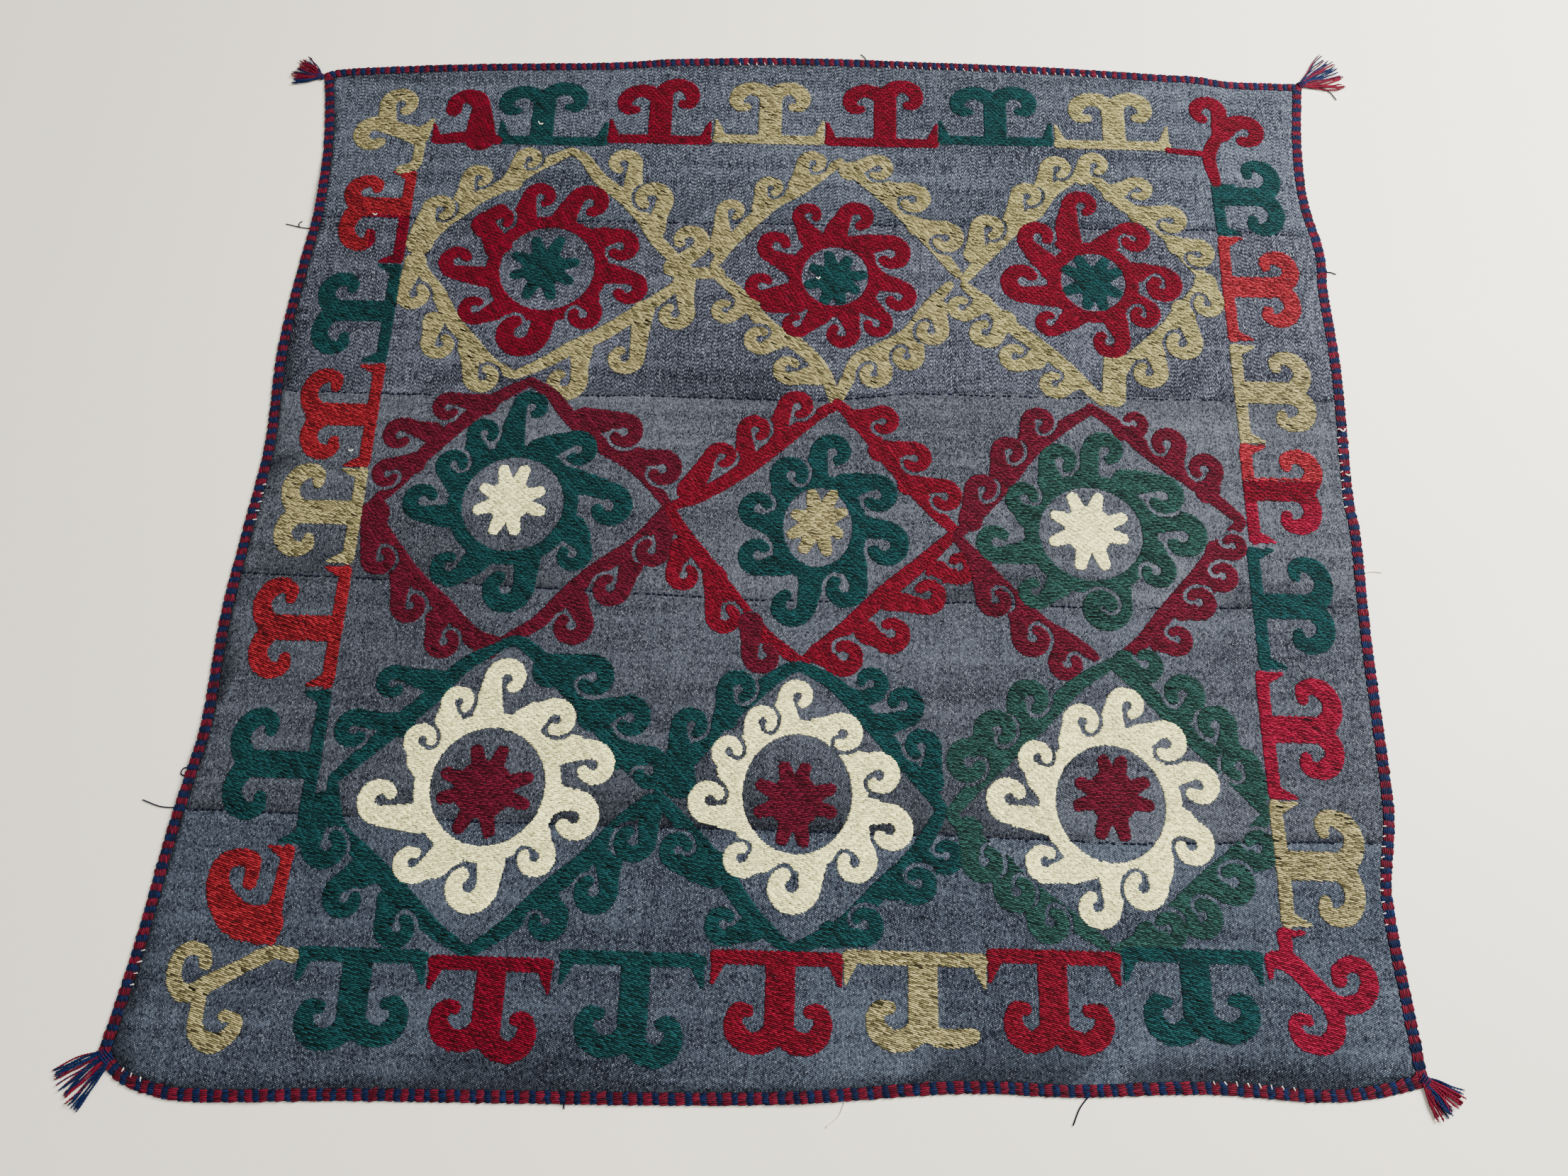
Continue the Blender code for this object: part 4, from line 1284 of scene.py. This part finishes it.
def fill(number, slope, pitch, length):
    """Stitches of one motif: rows of x, y, half length and row number, in millimetres."""
    rows, columns = np.nonzero(owner == number)
    if len(rows) == 0:
        return np.zeros((0, 4))
    x = (columns + 0.5) * CELL - GRID_WIDTH / 2
    y = (rows + 0.5) * CELL - GRID_HEIGHT / 2
    c, s = cos(radians(slope)), sin(radians(slope))
    u, v = x * c + y * s, y * c - x * s
    across = np.arange(v.min() + pitch * 0.5, v.max(), pitch)
    along = np.arange(u.min() - 2, u.max() + 2, CELL)
    v_grid = across[:, None] + SWAY * np.sin(along / SWAY_LENGTH + 0.8)[None, :]
    v_grid += RIPPLE * np.sin(along / RIPPLE_LENGTH + across[:, None] / 9.0)
    column = ((along * c - v_grid * s + GRID_WIDTH / 2) / CELL).astype(int)
    row = ((along * s + v_grid * c + GRID_HEIGHT / 2) / CELL).astype(int)
    inside = np.zeros((len(across), len(along) + 2), np.int8)
    inside[:, 1:-1] = owner[row, column] == number
    step = np.diff(inside, axis=1)
    starts, ends = np.argwhere(step == 1), np.argwhere(step == -1)
    laid = []
    for (line, first), last in zip(starts, ends[:, 1]):
        low, high = along[0] + first * CELL, along[0] + last * CELL
        low -= random.uniform(0.0, RAGGED)
        high += random.uniform(0.0, RAGGED)
        if high - low < SHORTEST:
            continue
        offset = 0.5 * (line % 2) + ROW_SHIFT * (line // 2 % 3) + random.uniform(-CUT_STRAY, CUT_STRAY)
        offset *= length
        first_cut, last_cut = np.ceil((low - offset) / length), np.ceil((high - offset) / length)
        cuts = offset + length * np.arange(first_cut, last_cut)
        cuts = cuts[(cuts > low + SHORTEST) & (cuts < high - SHORTEST)]
        edges = np.concatenate([[low], cuts, [high]])
        for a, b in zip(edges, edges[1:]):
            a, b = a - OVERLAP * (a > low), b + OVERLAP * (b < high)
            at = (a + b) / 2
            index = min(max(int((at - along[0]) / CELL), 0), len(along) - 1)
            off = v_grid[line, index]
            laid.append((at * c - off * s, at * s + off * c, (b - a) / 2, line))
    return np.array(laid)


print("rows lie", PLAIN_GAUGE[0], "mm apart, and otherwise in", sorted(GAUGE))

# %% Lay the stitches
AREAS = ("upper", "middle", "lower")
# dark rows: share of their stitches that lie low, how high these are, and the tone of their painted shade and
# of the painted light on the rest
SUNK, SUNK_HEIGHT, SUNK_PAINTED_SHADE, RAISED_PAINTED_LIGHT = 0.88, 0.7, -0.75, 0.45
HEIGHT_RANGE, WIDTH_RANGE = (0.82, 1.15), (0.60, 0.74)
# a stitch's middle above the cloth, and its half height, as shares of its height
SEAT, THICKNESS = 0.25, 0.62
LEAN_SPREAD, BOW_SPREAD, TONE_SPREAD = 2.6, 0.00018, 0.30
heaps = {}
for number, row in enumerate(MOTIFS, 1):
    pitch, length, height, dark_run = GAUGE.get(row["yarn"], PLAIN_GAUGE)
    area = next((a for a in AREAS if a in row["name"]), "border")
    laid = fill(number, row["slope"], pitch, length)
    if len(laid):
        measures = np.tile([row["slope"], pitch, height, dark_run], (len(laid), 1))
        heaps.setdefault((row["yarn"], area), []).append(np.hstack([laid, measures]))
stitches = triangles_laid = 0
for (colour, area), rows in heaps.items():
    x, y, half, line, slope, pitch, height, dark_run = np.concatenate(rows).T
    count = len(x)
    run = (x * np.cos(np.radians(slope)) + y * np.sin(np.radians(slope))) / dark_run
    sunk = (line + np.floor(run + ROW_SHIFT * (line // 2))) % 2 == 0
    sunk &= random.uniform(size=count) < SUNK
    x, y = x / 1000 - MIDDLE[0], y / 1000 - MIDDLE[1]
    lean = np.radians(slope + random.normal(0.0, LEAN_SPREAD, count))
    direction = np.column_stack([np.cos(lean), np.sin(lean)])
    half = half / 1000
    ends = [cloth_top(x + k * half * direction[:, 0], y + k * half * direction[:, 1]) for k in (-1, 1)]
    centre_z = np.maximum(cloth_top(x, y), (ends[0] + ends[1]) / 2)
    along = np.column_stack([direction, (ends[1] - ends[0]) / (2 * half)])
    along /= np.linalg.norm(along, axis=1)[:, None]
    up = np.cross(along, np.column_stack([-direction[:, 1], direction[:, 0], np.zeros(count)]))
    height = height / 1000 * random.uniform(*HEIGHT_RANGE, count) * np.where(sunk, SUNK_HEIGHT, 1.0)
    middle = np.column_stack([x, y, centre_z + SEAT * height])
    size = np.column_stack([half, pitch / 1000 * random.uniform(*WIDTH_RANGE, count), height * THICKNESS])
    # painted shade on the low stitches and painted light on the raised ones, plus each stitch's own random
    # tone
    tone = np.where(sunk, SUNK_PAINTED_SHADE, RAISED_PAINTED_LIGHT) + random.normal(0.0, TONE_SPREAD, count)
    bow = random.normal(0.0, BOW_SPREAD, count)
    piece = lay_copies(
        f"stitches_{colour}_{area}", YARNS[colour], stitch_corners, stitch_triangles,
        middle, along, up, size, tone, bow,
    )
    stitches += count
    triangles_laid += len(piece.data.polygons)
print(stitches, "filling stitches,", triangles_laid, "triangles in", len(heaps), "pieces")

# %% [markdown]
# The edging is worked from thick crimson and navy yarns and sewn round the cloth. Each colour takes
# its turn: a block of half a dozen strands lies along the edge and bulges, then the next colour's
# block comes out from between its ends. So it is laid the same way: one bar with six sides and pointed
# ends, copied side by side in blocks that overlap a little, each block higher and wider in its middle.
# A flat core under the strands closes the gaps; its dark colour is painted shade between the strands. Its
# route is the part's.

# %% The edging's route
# outer edge from the cloth's middle, in metres. Columns: along, across
EDGES = {
    "left": (
        (-0.668, -0.7190), (-0.560, -0.7045), (-0.440, -0.6945), (-0.360, -0.6840), (-0.300, -0.6790),
        (-0.170, -0.6820), (-0.060, -0.6760), (0.060, -0.6695), (0.200, -0.6775), (0.340, -0.6710),
        (0.420, -0.6645), (0.520, -0.6695), (0.600, -0.6800), (0.656, -0.6900),
    ),
    "right": (
        (-0.654, 0.6945), (-0.580, 0.6898), (-0.480, 0.6830), (-0.440, 0.6845), (-0.380, 0.6970),
        (-0.330, 0.7003), (-0.160, 0.7020), (-0.030, 0.7070), (0.030, 0.7050), (0.200, 0.7130),
        (0.320, 0.7110), (0.380, 0.7130), (0.460, 0.7020), (0.560, 0.7040), (0.672, 0.7170),
    ),
    "top": (
        (-0.690, 0.6560), (-0.650, 0.6650), (-0.480, 0.6775), (-0.280, 0.6855), (-0.130, 0.6970),
        (0.000, 0.7010), (0.160, 0.6985), (0.360, 0.6930), (0.540, 0.6825), (0.600, 0.6740),
        (0.660, 0.6730), (0.717, 0.6720),
    ),
    "bottom": (
        (-0.719, -0.6660), (-0.695, -0.6900), (-0.655, -0.7040), (-0.600, -0.7090), (-0.430, -0.7030),
        (-0.130, -0.6980), (0.030, -0.6920), (0.200, -0.6770), (0.320, -0.6770), (0.460, -0.6700),
        (0.575, -0.6740), (0.640, -0.6680), (0.696, -0.6540),
    ),
}
BRAID_HALF = 0.0055
LINE_STEP, CLEAR_OF_END = 0.001, 0.001
# which way is inward of the direction of travel, then the lengths of a crimson and of a navy block
BRAIDS = {
    "top": (-1, 0.0072, 0.0068),
    "bottom": (1, 0.0096, 0.0066),
    "left": (-1, 0.0082, 0.0074),
    "right": (1, 0.0082, 0.0074),
}
# strands in a block, how far the outer ones lie from its middle and bulge, and points past each end
ROWS_ACROSS, ROW_OFF, BULGE, PAST_END = 6, 0.0045, 0.0008, 5
UPRIGHT = ("left", "right")
print("edges", {side: len(points) for side, points in EDGES.items()}, "points")


# %% Lines along an edge
def even_line(points, step):
    """A line of points at equal steps, with the length along it."""
    s = length_along(points)
    at = np.arange(0.0, s[-1], step)
    return np.column_stack([np.interp(at, s, points[:, k]) for k in range(points.shape[1])]), at


def headings(line):
    """Unit directions along a line."""
    way = np.gradient(line, axis=0)
    return way / np.linalg.norm(way, axis=1)[:, None]


def inward_of(side, line):
    """Unit directions from an edge towards the middle of the cloth."""
    way = headings(line)
    return BRAIDS[side][0] * np.column_stack([-way[:, 1], way[:, 0]])


def edging(side):
    """The braid's middle line at millimetre steps, clipped to its CAD solid, in the part's frame."""
    table = np.array(EDGES[side])
    if side in UPRIGHT:
        table = table[:, ::-1]
    line = even_line(smooth_line(table * 1000, 6.0) / 1000 - MIDDLE, LINE_STEP)[0]
    line = line + inward_of(side, line) * BRAID_HALF
    low, high = (np.array(corner)[:2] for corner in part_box("braid_" + side))
    axis = int(side in UPRIGHT)
    line = line[(line[:, axis] > low[axis] + CLEAR_OF_END) & (line[:, axis] < high[axis] - CLEAR_OF_END)]
    more = np.arange(1, PAST_END + 1)[:, None]
    before = line[0] - more[::-1] * (line[1] - line[0])
    return np.vstack([before, line, line[-1] + more * (line[-1] - line[-2])])


def filled(values):
    """The same values with gaps filled along the row."""
    good = ~np.isnan(values)
    return np.interp(np.arange(len(values)), np.flatnonzero(good), values[good])


def two_yarns(name, first, second, valley_shade):
    """A wool finish that takes one of two colours from the strand's own dye value."""
    made = wool(name, first, valley_shade)
    tree = made.node_tree
    dye = add(tree, "ShaderNodeAttribute", attribute_name="dye").outputs["Fac"]
    group = next(node for node in tree.nodes if node.type == "GROUP")
    tree.links.new(mixed(tree, dye, first, second), group.inputs["Yarn"])
    return made


print("a braid is", BRAID_HALF * 2000, "mm wide, in blocks of", ROWS_ACROSS, "strands")

# %% [markdown]
# Yarns that bend freely can't be copies of one straight bar. Each is a curve with a round section, or a
# flat one for the braid's core, and Blender turns it into a mesh with closed ends. All the yarns of a
# piece are splines of one curve, so every point's place in the mesh tells which yarn it belongs to.

# %% Tubes of yarn
FLAT_SIDES = 8


def yarn_tube(name, paths, radius, material, dyes=None, tones=None, flat=None):
    """Round yarns along paths of equal point count, in one mesh. A path's rows are x, y, z, thickness."""
    drawn = bpy.data.curves.new(name, "CURVE")
    drawn.dimensions = "3D"
    drawn.twist_mode = "Z_UP"
    drawn.use_fill_caps = True
    if flat is None:
        drawn.bevel_depth = radius
        drawn.bevel_resolution = 1
    else:
        profile = bpy.data.curves.new(name + "_section", "CURVE")
        ring = profile.splines.new("POLY")
        ring.points.add(FLAT_SIDES - 1)
        for point, turn in zip(ring.points, np.arange(FLAT_SIDES) * 2 * np.pi / FLAT_SIDES):
            point.co = (flat[0] * np.cos(turn), flat[1] * np.sin(turn), 0.0, 1.0)
        ring.use_cyclic_u = True
        section = placed(name + "_section", profile)
        drawn.bevel_mode = "OBJECT"
        drawn.bevel_object = section
    for path in paths:
        line = drawn.splines.new("POLY")
        line.points.add(len(path) - 1)
        line.points.foreach_set("co", np.column_stack([path[:, :3], np.ones(len(path))]).ravel())
        if path.shape[1] > 3:
            line.points.foreach_set("radius", path[:, 3].copy())
    holder = placed(name + "_line", drawn)
    bpy.context.view_layer.update()
    graph = bpy.context.evaluated_depsgraph_get()
    mesh = bpy.data.meshes.new_from_object(holder.evaluated_get(graph))
    mesh.name = name
    bpy.data.objects.remove(holder)
    if flat is not None:
        bpy.data.objects.remove(section)
    each = len(mesh.vertices) // len(paths)
    solid = bmesh.new()
    solid.from_mesh(mesh)
    bmesh.ops.recalc_face_normals(solid, faces=solid.faces)
    solid.to_mesh(mesh)
    solid.free()
    for label, values in (("dye", dyes), ("tone", tones)):
        keep_values(mesh, label, np.repeat(np.zeros(len(paths)) if values is None else values, each))
    mesh.materials.clear()
    print(name, "tubes:", len(paths))
    return finish_piece(name, mesh, material)


# %% [markdown]
# Now the edging is worked side by side. The blocks take turns along the route, and every strand finds
# its height on the part's own solid, so the plait follows the cloth's rises. Crimson and navy share one
# finish, which reads the dye from each strand.

# %% Work the edging
CRIMSON, NAVY = linear(88, 10, 32), linear(10, 25, 60)
braid_wool = two_yarns("braid_wool", CRIMSON, NAVY, 0.85)
# the core's dark colour is painted shade for the gaps between the strands
core_shade_wool = wool("braid_core_shade", linear(20, 14, 30), 0.5)
strand_corners, strand_triangles = pointed_bar(6, 0.55)
rank = np.linspace(-1.0, 1.0, ROWS_ACROSS)
SPOT_STEP, STRAND_SINK = 0.0005, 0.0017
BLOCK_PAIRS, BLOCK_SPREAD = 200, (0.86, 1.14)
STRAND_SLIP, STRAND_RISE, STRAND_LEAN, STRAND_TONE = 0.0006, 0.0005, 0.10, 0.55
# a strand's half length as a share of its block's, then its half width and height in metres
STRAND_LENGTH, STRAND_WIDTH, STRAND_HEIGHT = (0.60, 0.72), (0.0012, 0.0015), (0.0011, 0.0014)
# the core's step and half section, and how many points it is shorter than the route at each end
CORE_STEP, CORE_SECTION, CORE_CUT = 0.006, (0.0058, 0.0011), 4
routes = {}
for side, (_, crimson_length, navy_length) in BRAIDS.items():
    line = edging(side)
    solid = surface_of(merged(["braid_" + side]))
    z = filled(np.array([top_at(solid, x, y) for x, y in line])) - STRAND_SINK
    route = np.column_stack([line, z])
    routes[side] = route
    spots, at = even_line(route, SPOT_STEP)
    way = headings(spots)
    lengths = np.tile([crimson_length, navy_length], BLOCK_PAIRS)
    lengths = lengths * random.uniform(*BLOCK_SPREAD, 2 * BLOCK_PAIRS)
    ends = np.cumsum(lengths)
    blocks = int(np.searchsorted(ends, at[-1])) + 1
    centre = (ends - lengths / 2)[:blocks]
    # one row for every strand: its block, and its rank from -1 to 1 across the braid
    block, row = np.repeat(np.arange(blocks), ROWS_ACROSS), np.tile(rank, blocks)
    index = np.clip((centre[block] / SPOT_STEP).astype(int), 0, len(spots) - 1)
    forward = way[index]
    level = np.column_stack([-forward[:, 1], forward[:, 0], np.zeros(len(block))])
    up = np.cross(forward, level)
    count = len(block)
    slip = random.normal(0.0, STRAND_SLIP, count) - row * STRAND_SLIP
    off = row * ROW_OFF * (0.94 + 0.12 * random.uniform(size=blocks)[block])
    rise = STRAND_RISE * (1 - row * row) * random.uniform(0.4, 1.0, count)
    middle = spots[index] + forward * slip[:, None] + level * off[:, None] + up * rise[:, None]
    lean = random.normal(STRAND_LEAN, STRAND_LEAN, count)
    along = forward * np.cos(lean)[:, None] + level * np.sin(lean)[:, None]
    sizes = np.column_stack([
        lengths[block] * random.uniform(*STRAND_LENGTH, count), random.uniform(*STRAND_WIDTH, count),
        random.uniform(*STRAND_HEIGHT, count),
    ])
    tone = np.clip(random.normal(0.0, STRAND_TONE, count), -1, 1)
    plait = lay_copies(
        "plait_" + side, braid_wool, strand_corners, strand_triangles,
        middle, along, up, sizes, tone, row * BULGE,
    )
    keep_values(plait.data, "dye", np.repeat(block % 2, len(strand_corners)))
    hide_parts("braid_" + side)
    path = even_line(route[CORE_CUT:-CORE_CUT], CORE_STEP)[0]
    core = yarn_tube("plait_core_" + side, [path], 0, core_shade_wool, flat=CORE_SECTION)
    print(plait.name, blocks, "blocks,", count, "strands,", round(float(at[-1]), 3), "m long")

# %% [markdown]
# Where two braids meet, their yarns are knotted and left to spread as a tassel. Each tassel yarn is two
# plies wound round each other, drawn as curves that leave a wrapped knot side by side, fan out and sink
# to the floor, then turned into a mesh. The places, lengths and fans are the part's own.

# %% Where the tassels are
# root from the cloth's middle in metres; direction and spread in degrees; length at the first and last
# side and width at the root in metres; then which shares of the fan are navy
TASSELS = {
    "top_left": (
        (-0.695, 0.650), 162, 68, (0.044, 0.042), 0.007, ((0.0, 0.12), (0.52, 0.60), (0.88, 1.0)),
    ),
    "top_right": ((0.7175, 0.672), 25, 56, (0.061, 0.065), 0.007, ((0.46, 0.72), (0.79, 0.96))),
    "bottom_left": (
        (-0.710, -0.668), 224, 44, (0.057, 0.057), 0.014, ((0.10, 0.30), (0.42, 0.62), (0.78, 1.0)),
    ),
    "bottom_right": ((0.691, -0.650), -47, 50, (0.040, 0.043), 0.008, ((0.28, 0.50), (0.95, 1.0))),
}
YARN_COUNT, PLY_RADIUS, PLY_OFF, TWIST_LENGTH, PATH_POINTS = 30, 0.00070, 0.00056, 0.0065, 28
ROOT_HEIGHT, SINK_LENGTH, LOWEST, LAYERS = 0.0032, 0.014, 0.0013, 0.0022
KNOT_WINDS, KNOT_TURNS, KNOT_LENGTH, KNOT_HEIGHT, KNOT_MIDDLE = 4, 3, 0.0085, 0.0019, 0.0026
# the least height of a ply's and of the knot's middle line over the floor
PLY_FLOOR, KNOT_FLOOR = 0.0007, 0.0009
# yarns differ in length, stray from their place in the fan and bend towards their ends
YARN_LENGTHS, FAN_STRAY, END_BEND = (0.86, 1.02), 2.0, 0.16
# a yarn's own wave: how far it swings, and how fast
SWING, SWING_SPEED = 0.10, (5, 11)
# its plies part and thin at the end: from which share of the length, over how much, and by how much
PART_FROM, PART_OVER, PART_BY = 0.88, 0.12, 0.9
THIN_FROM, THIN_OVER, THIN_BY = 0.9, 0.1, 0.35
# a wind of the knot: its turn and place after the one before, how far back the knot sits as a share
# of its length, and the wind's slack and thickness
WIND_TURN, WIND_STEP, KNOT_BACK, WIND_SLACK, WIND_THICK = 1.6, 0.0006, 0.62, 0.0012, 1.25
PLY_TONE, WIND_TONE = 0.5, 0.4
print(len(TASSELS), "tassels of", YARN_COUNT, "yarns")

# %% Tassel yarns and knots
tassel_wool = two_yarns("tassel_wool", CRIMSON, NAVY, 0.75)
s = np.linspace(0.0, 1.0, PATH_POINTS)
for name, (place, aim, fan, lengths, width, navy) in TASSELS.items():
    root = np.array(place) - MIDDLE
    toward = np.array([cos(radians(aim)), sin(radians(aim))])
    aside = np.array([-toward[1], toward[0]])
    paths, dyes, tones = [], [], []
    for index in range(YARN_COUNT):
        t = (index + random.uniform(-0.4, 0.4)) / (YARN_COUNT - 1)
        t = min(max(t, 0.0), 1.0)
        length = np.interp(t, (0, 1), lengths) * random.uniform(*YARN_LENGTHS)
        opening = fan * (t - 0.5) * (1.25 - 0.5 * s) + random.normal(0.0, FAN_STRAY)
        aimed = radians(aim) + np.radians(opening) + random.normal(0.0, END_BEND) * s * s
        aimed += SWING * np.sin(s * random.uniform(*SWING_SPEED) + random.uniform(0, 6))
        step = length / (PATH_POINTS - 1)
        start = root + aside * width * (t - 0.5)
        x = start[0] + np.concatenate([[0.0], np.cumsum(np.cos(aimed[:-1]) * step)])
        y = start[1] + np.concatenate([[0.0], np.cumsum(np.sin(aimed[:-1]) * step)])
        layer = LOWEST + LAYERS * random.uniform()
        z = layer + (ROOT_HEIGHT - layer) * np.exp(-s * length / SINK_LENGTH) + 0.0004 * np.sin(s * 9 + index)
        side_way = np.column_stack([-np.sin(aimed), np.cos(aimed)])
        winding = 2 * np.pi * s * length / TWIST_LENGTH + random.uniform(0.0, 6.28)
        open_end = 1 + PART_BY * np.clip((s - PART_FROM) / PART_OVER, 0, 1)
        for ply in (0.0, np.pi):
            off = PLY_OFF * open_end * np.cos(winding + ply)
            lift = PLY_OFF * np.sin(winding + ply)
            thick = 1.0 - THIN_BY * np.clip((s - THIN_FROM) / THIN_OVER, 0, 1)
            paths.append(np.column_stack([
                x + side_way[:, 0] * off, y + side_way[:, 1] * off, np.maximum(z + lift, PLY_FLOOR), thick,
            ]))
            dyes.append(float(any(low <= t <= high for low, high in navy)))
            tones.append(random.normal(0.0, PLY_TONE))
    # the knot: yarns wound round the root
    for wind in range(KNOT_WINDS):
        turns = 2 * np.pi * KNOT_TURNS * s + wind * WIND_TURN
        run = (s - KNOT_BACK) * KNOT_LENGTH + wind * WIND_STEP
        wide = (width / 2 + WIND_SLACK) * np.cos(turns)
        spot = root + toward * run[:, None] + aside * wide[:, None]
        z = KNOT_MIDDLE + KNOT_HEIGHT * np.sin(turns)
        paths.append(np.column_stack([spot, np.maximum(z, KNOT_FLOOR), np.full(PATH_POINTS, WIND_THICK)]))
        dyes.append(float(wind != 1))
        tones.append(random.normal(0.0, WIND_TONE))
    tassel = yarn_tube("tassel_yarns_" + name, paths, PLY_RADIUS, tassel_wool, dyes, tones)
    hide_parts("tassel_" + name)

# %% [markdown]
# Small sewing. Navy running stitches show along the seams, pale overcast stitches hold the edging to
# the cloth here and there, and a few ends of thread were never trimmed. They are what tells a worn,
# handmade piece from a printed one, so each has its place.

# %% Seam and edging stitches
navy_thread = wool("navy_thread", linear(8, 12, 34), 0.4)
pale_thread = wool("pale_thread", linear(232, 228, 216), 0.35, 0.12)
SEAM_FROM, SEAM_TO, DASH, DASH_STEP, SHOWN = -0.664, 0.672, 0.0050, 0.0070, 0.82
# how far a seam stitch strays along and across the seam, in metres, and how far it turns
STRAY_ALONG, STRAY_ACROSS, STRAY_TURN = 0.0008, 0.0004, 0.10
SEAM_SIZE, PALE_SIZE = (DASH / 2, 0.0013, 0.0009), (0.0026, 0.0008, 0.0008)
SEAM_RISE, PALE_RISE = 0.0004, 0.0009
# how sewn stitches differ in size and tone
SEWN_SIZES, SEWN_TONE = (0.8, 1.2), 0.3


def sew(name, thread, spots, turns, rise, size):
    """Short stitches at spots on the cloth, turned by their angles, each of a little different size."""
    count = len(spots)
    middle = np.column_stack([spots, cloth_top(*spots.T) + rise])
    along = np.column_stack([np.cos(turns), np.sin(turns), np.zeros(count)])
    up = np.tile([0.0, 0.0, 1.0], (count, 1))
    sizes = np.array(size) * random.uniform(*SEWN_SIZES, (count, 3))
    tone = random.normal(0.0, SEWN_TONE, count)
    lay_copies(name, thread, stitch_corners, stitch_triangles, middle, along, up, sizes, tone)


spots, turns = [], []
for seam in SEAMS:
    seam_x, seam_y = np.array(seam).T
    x = np.arange(SEAM_FROM, SEAM_TO, DASH_STEP)
    x = x + random.uniform(-STRAY_ALONG, STRAY_ALONG, len(x))
    y = np.interp(x, seam_x, seam_y) + random.normal(0.0, STRAY_ACROSS, len(x))
    cell_row = ((y * 1000 + GRID_HEIGHT / 2) / CELL).astype(int)
    cell_column = ((x * 1000 + GRID_WIDTH / 2) / CELL).astype(int)
    bare = (owner[cell_row, cell_column] == 0) & (random.uniform(size=len(x)) < SHOWN)
    spots.append(np.column_stack([x, y])[bare])
    turns.append(random.normal(0.0, STRAY_TURN, bare.sum()))
spots, turns = np.concatenate(spots) - MIDDLE, np.concatenate(turns)
sew("seam_stitches", navy_thread, spots, turns, SEAM_RISE, SEAM_SIZE)
# side, from and to along it in metres
PALE_RUNS = (
    ("top", 0.12, 0.44), ("top", -0.09, -0.04), ("left", -0.05, 0.01), ("left", -0.60, -0.55),
    ("right", 0.0, 0.12), ("right", -0.50, -0.38), ("bottom", 0.46, 0.56), ("bottom", -0.70, -0.66),
)
# a pale stitch's turn from square to the edge and how far that strays, in radians
PALE_TURN = 0.35, 0.15
PALE_STEP, PALE_INSET = 0.012, 0.0056
spots, turns = [], []
for side, low, high in PALE_RUNS:
    route = even_line(routes[side], PALE_STEP)[0]
    axis = int(side in UPRIGHT)
    shown = (route[:, axis] + MIDDLE[axis] > low) & (route[:, axis] + MIDDLE[axis] < high)
    inward = inward_of(side, route)[shown]
    spots.append(route[shown, :2] + inward * PALE_INSET)
    turns.append(np.arctan2(inward[:, 1], inward[:, 0]) + random.normal(*PALE_TURN, len(inward)))
spots, turns = np.concatenate(spots), np.concatenate(turns)
sew("edging_stitches", pale_thread, spots, turns, PALE_RISE, PALE_SIZE)

# %% [markdown]
# The ends of thread that were never trimmed lie where they fell: the navy ones mostly across the edge,
# the pale ones there and on the motifs. Each is a short smooth line that rests on the solid below it.

# %% Loose thread ends
# points from the cloth's middle in metres
NAVY_ENDS = (
    ((-0.667, 0.389), (-0.682, 0.391), (-0.702, 0.396)),
    ((-0.683, 0.392), (-0.684, 0.397), (-0.680, 0.401)),
    ((-0.687, -0.403), (-0.708, -0.402), (-0.730, -0.395)),
    ((-0.684, -0.368), (-0.692, -0.364), (-0.690, -0.357), (-0.683, -0.358)),
    ((0.712, 0.356), (0.720, 0.356), (0.727, 0.353)),
    ((0.093, 0.698), (0.091, 0.706), (0.085, 0.712)),
    ((0.337, -0.675), (0.326, -0.688), (0.318, -0.705)),
    ((0.728, 0.668), (0.745, 0.667), (0.757, 0.661), (0.765, 0.647)),
    ((-0.215, -0.697), (-0.217, -0.701), (-0.216, -0.705)),
)
PALE_ENDS = (
    ((0.705, -0.076), (0.716, -0.074), (0.728, -0.075)),
    ((0.080, -0.687), (0.073, -0.703), (0.060, -0.714)),
    ((-0.372, 0.577), (-0.369, 0.573), (-0.365, 0.574)),
    ((-0.583, 0.413), (-0.580, 0.411), (-0.577, 0.413)),
    ((0.028, 0.328), (0.031, 0.326), (0.033, 0.329)),
    ((-0.562, 0.054), (-0.559, 0.053), (-0.556, 0.055)),
    ((0.700, 0.118), (0.704, 0.115), (0.707, 0.119)),
    ((0.699, 0.055), (0.703, 0.053), (0.706, 0.056)),
)
END_RADIUS, END_POINTS = 0.0008, 18
all_cad = surface_of(merged(list(frame["nodes"])))
for name, table, thread in (("navy", NAVY_ENDS, navy_thread), ("pale", PALE_ENDS, pale_thread)):
    paths = []
    for points in table:
        line = smooth_line(np.array(points) * 1000, 0.5) / 1000 - MIDDLE
        runs = length_along(line)
        at = np.linspace(0.0, runs[-1], END_POINTS)
        x, y = (np.interp(at, runs, line[:, k]) for k in (0, 1))
        z = np.array([top_at(all_cad, *spot, 0.0) for spot in zip(x, y)]) + END_RADIUS * 1.1
        z = np.convolve(np.pad(z, 1, mode="edge"), np.ones(3) / 3, mode="valid")
        paths.append(np.column_stack([x, y, np.maximum(z, END_RADIUS)]))
    yarn_tube(f"loose_ends_{name}", paths, END_RADIUS, thread)
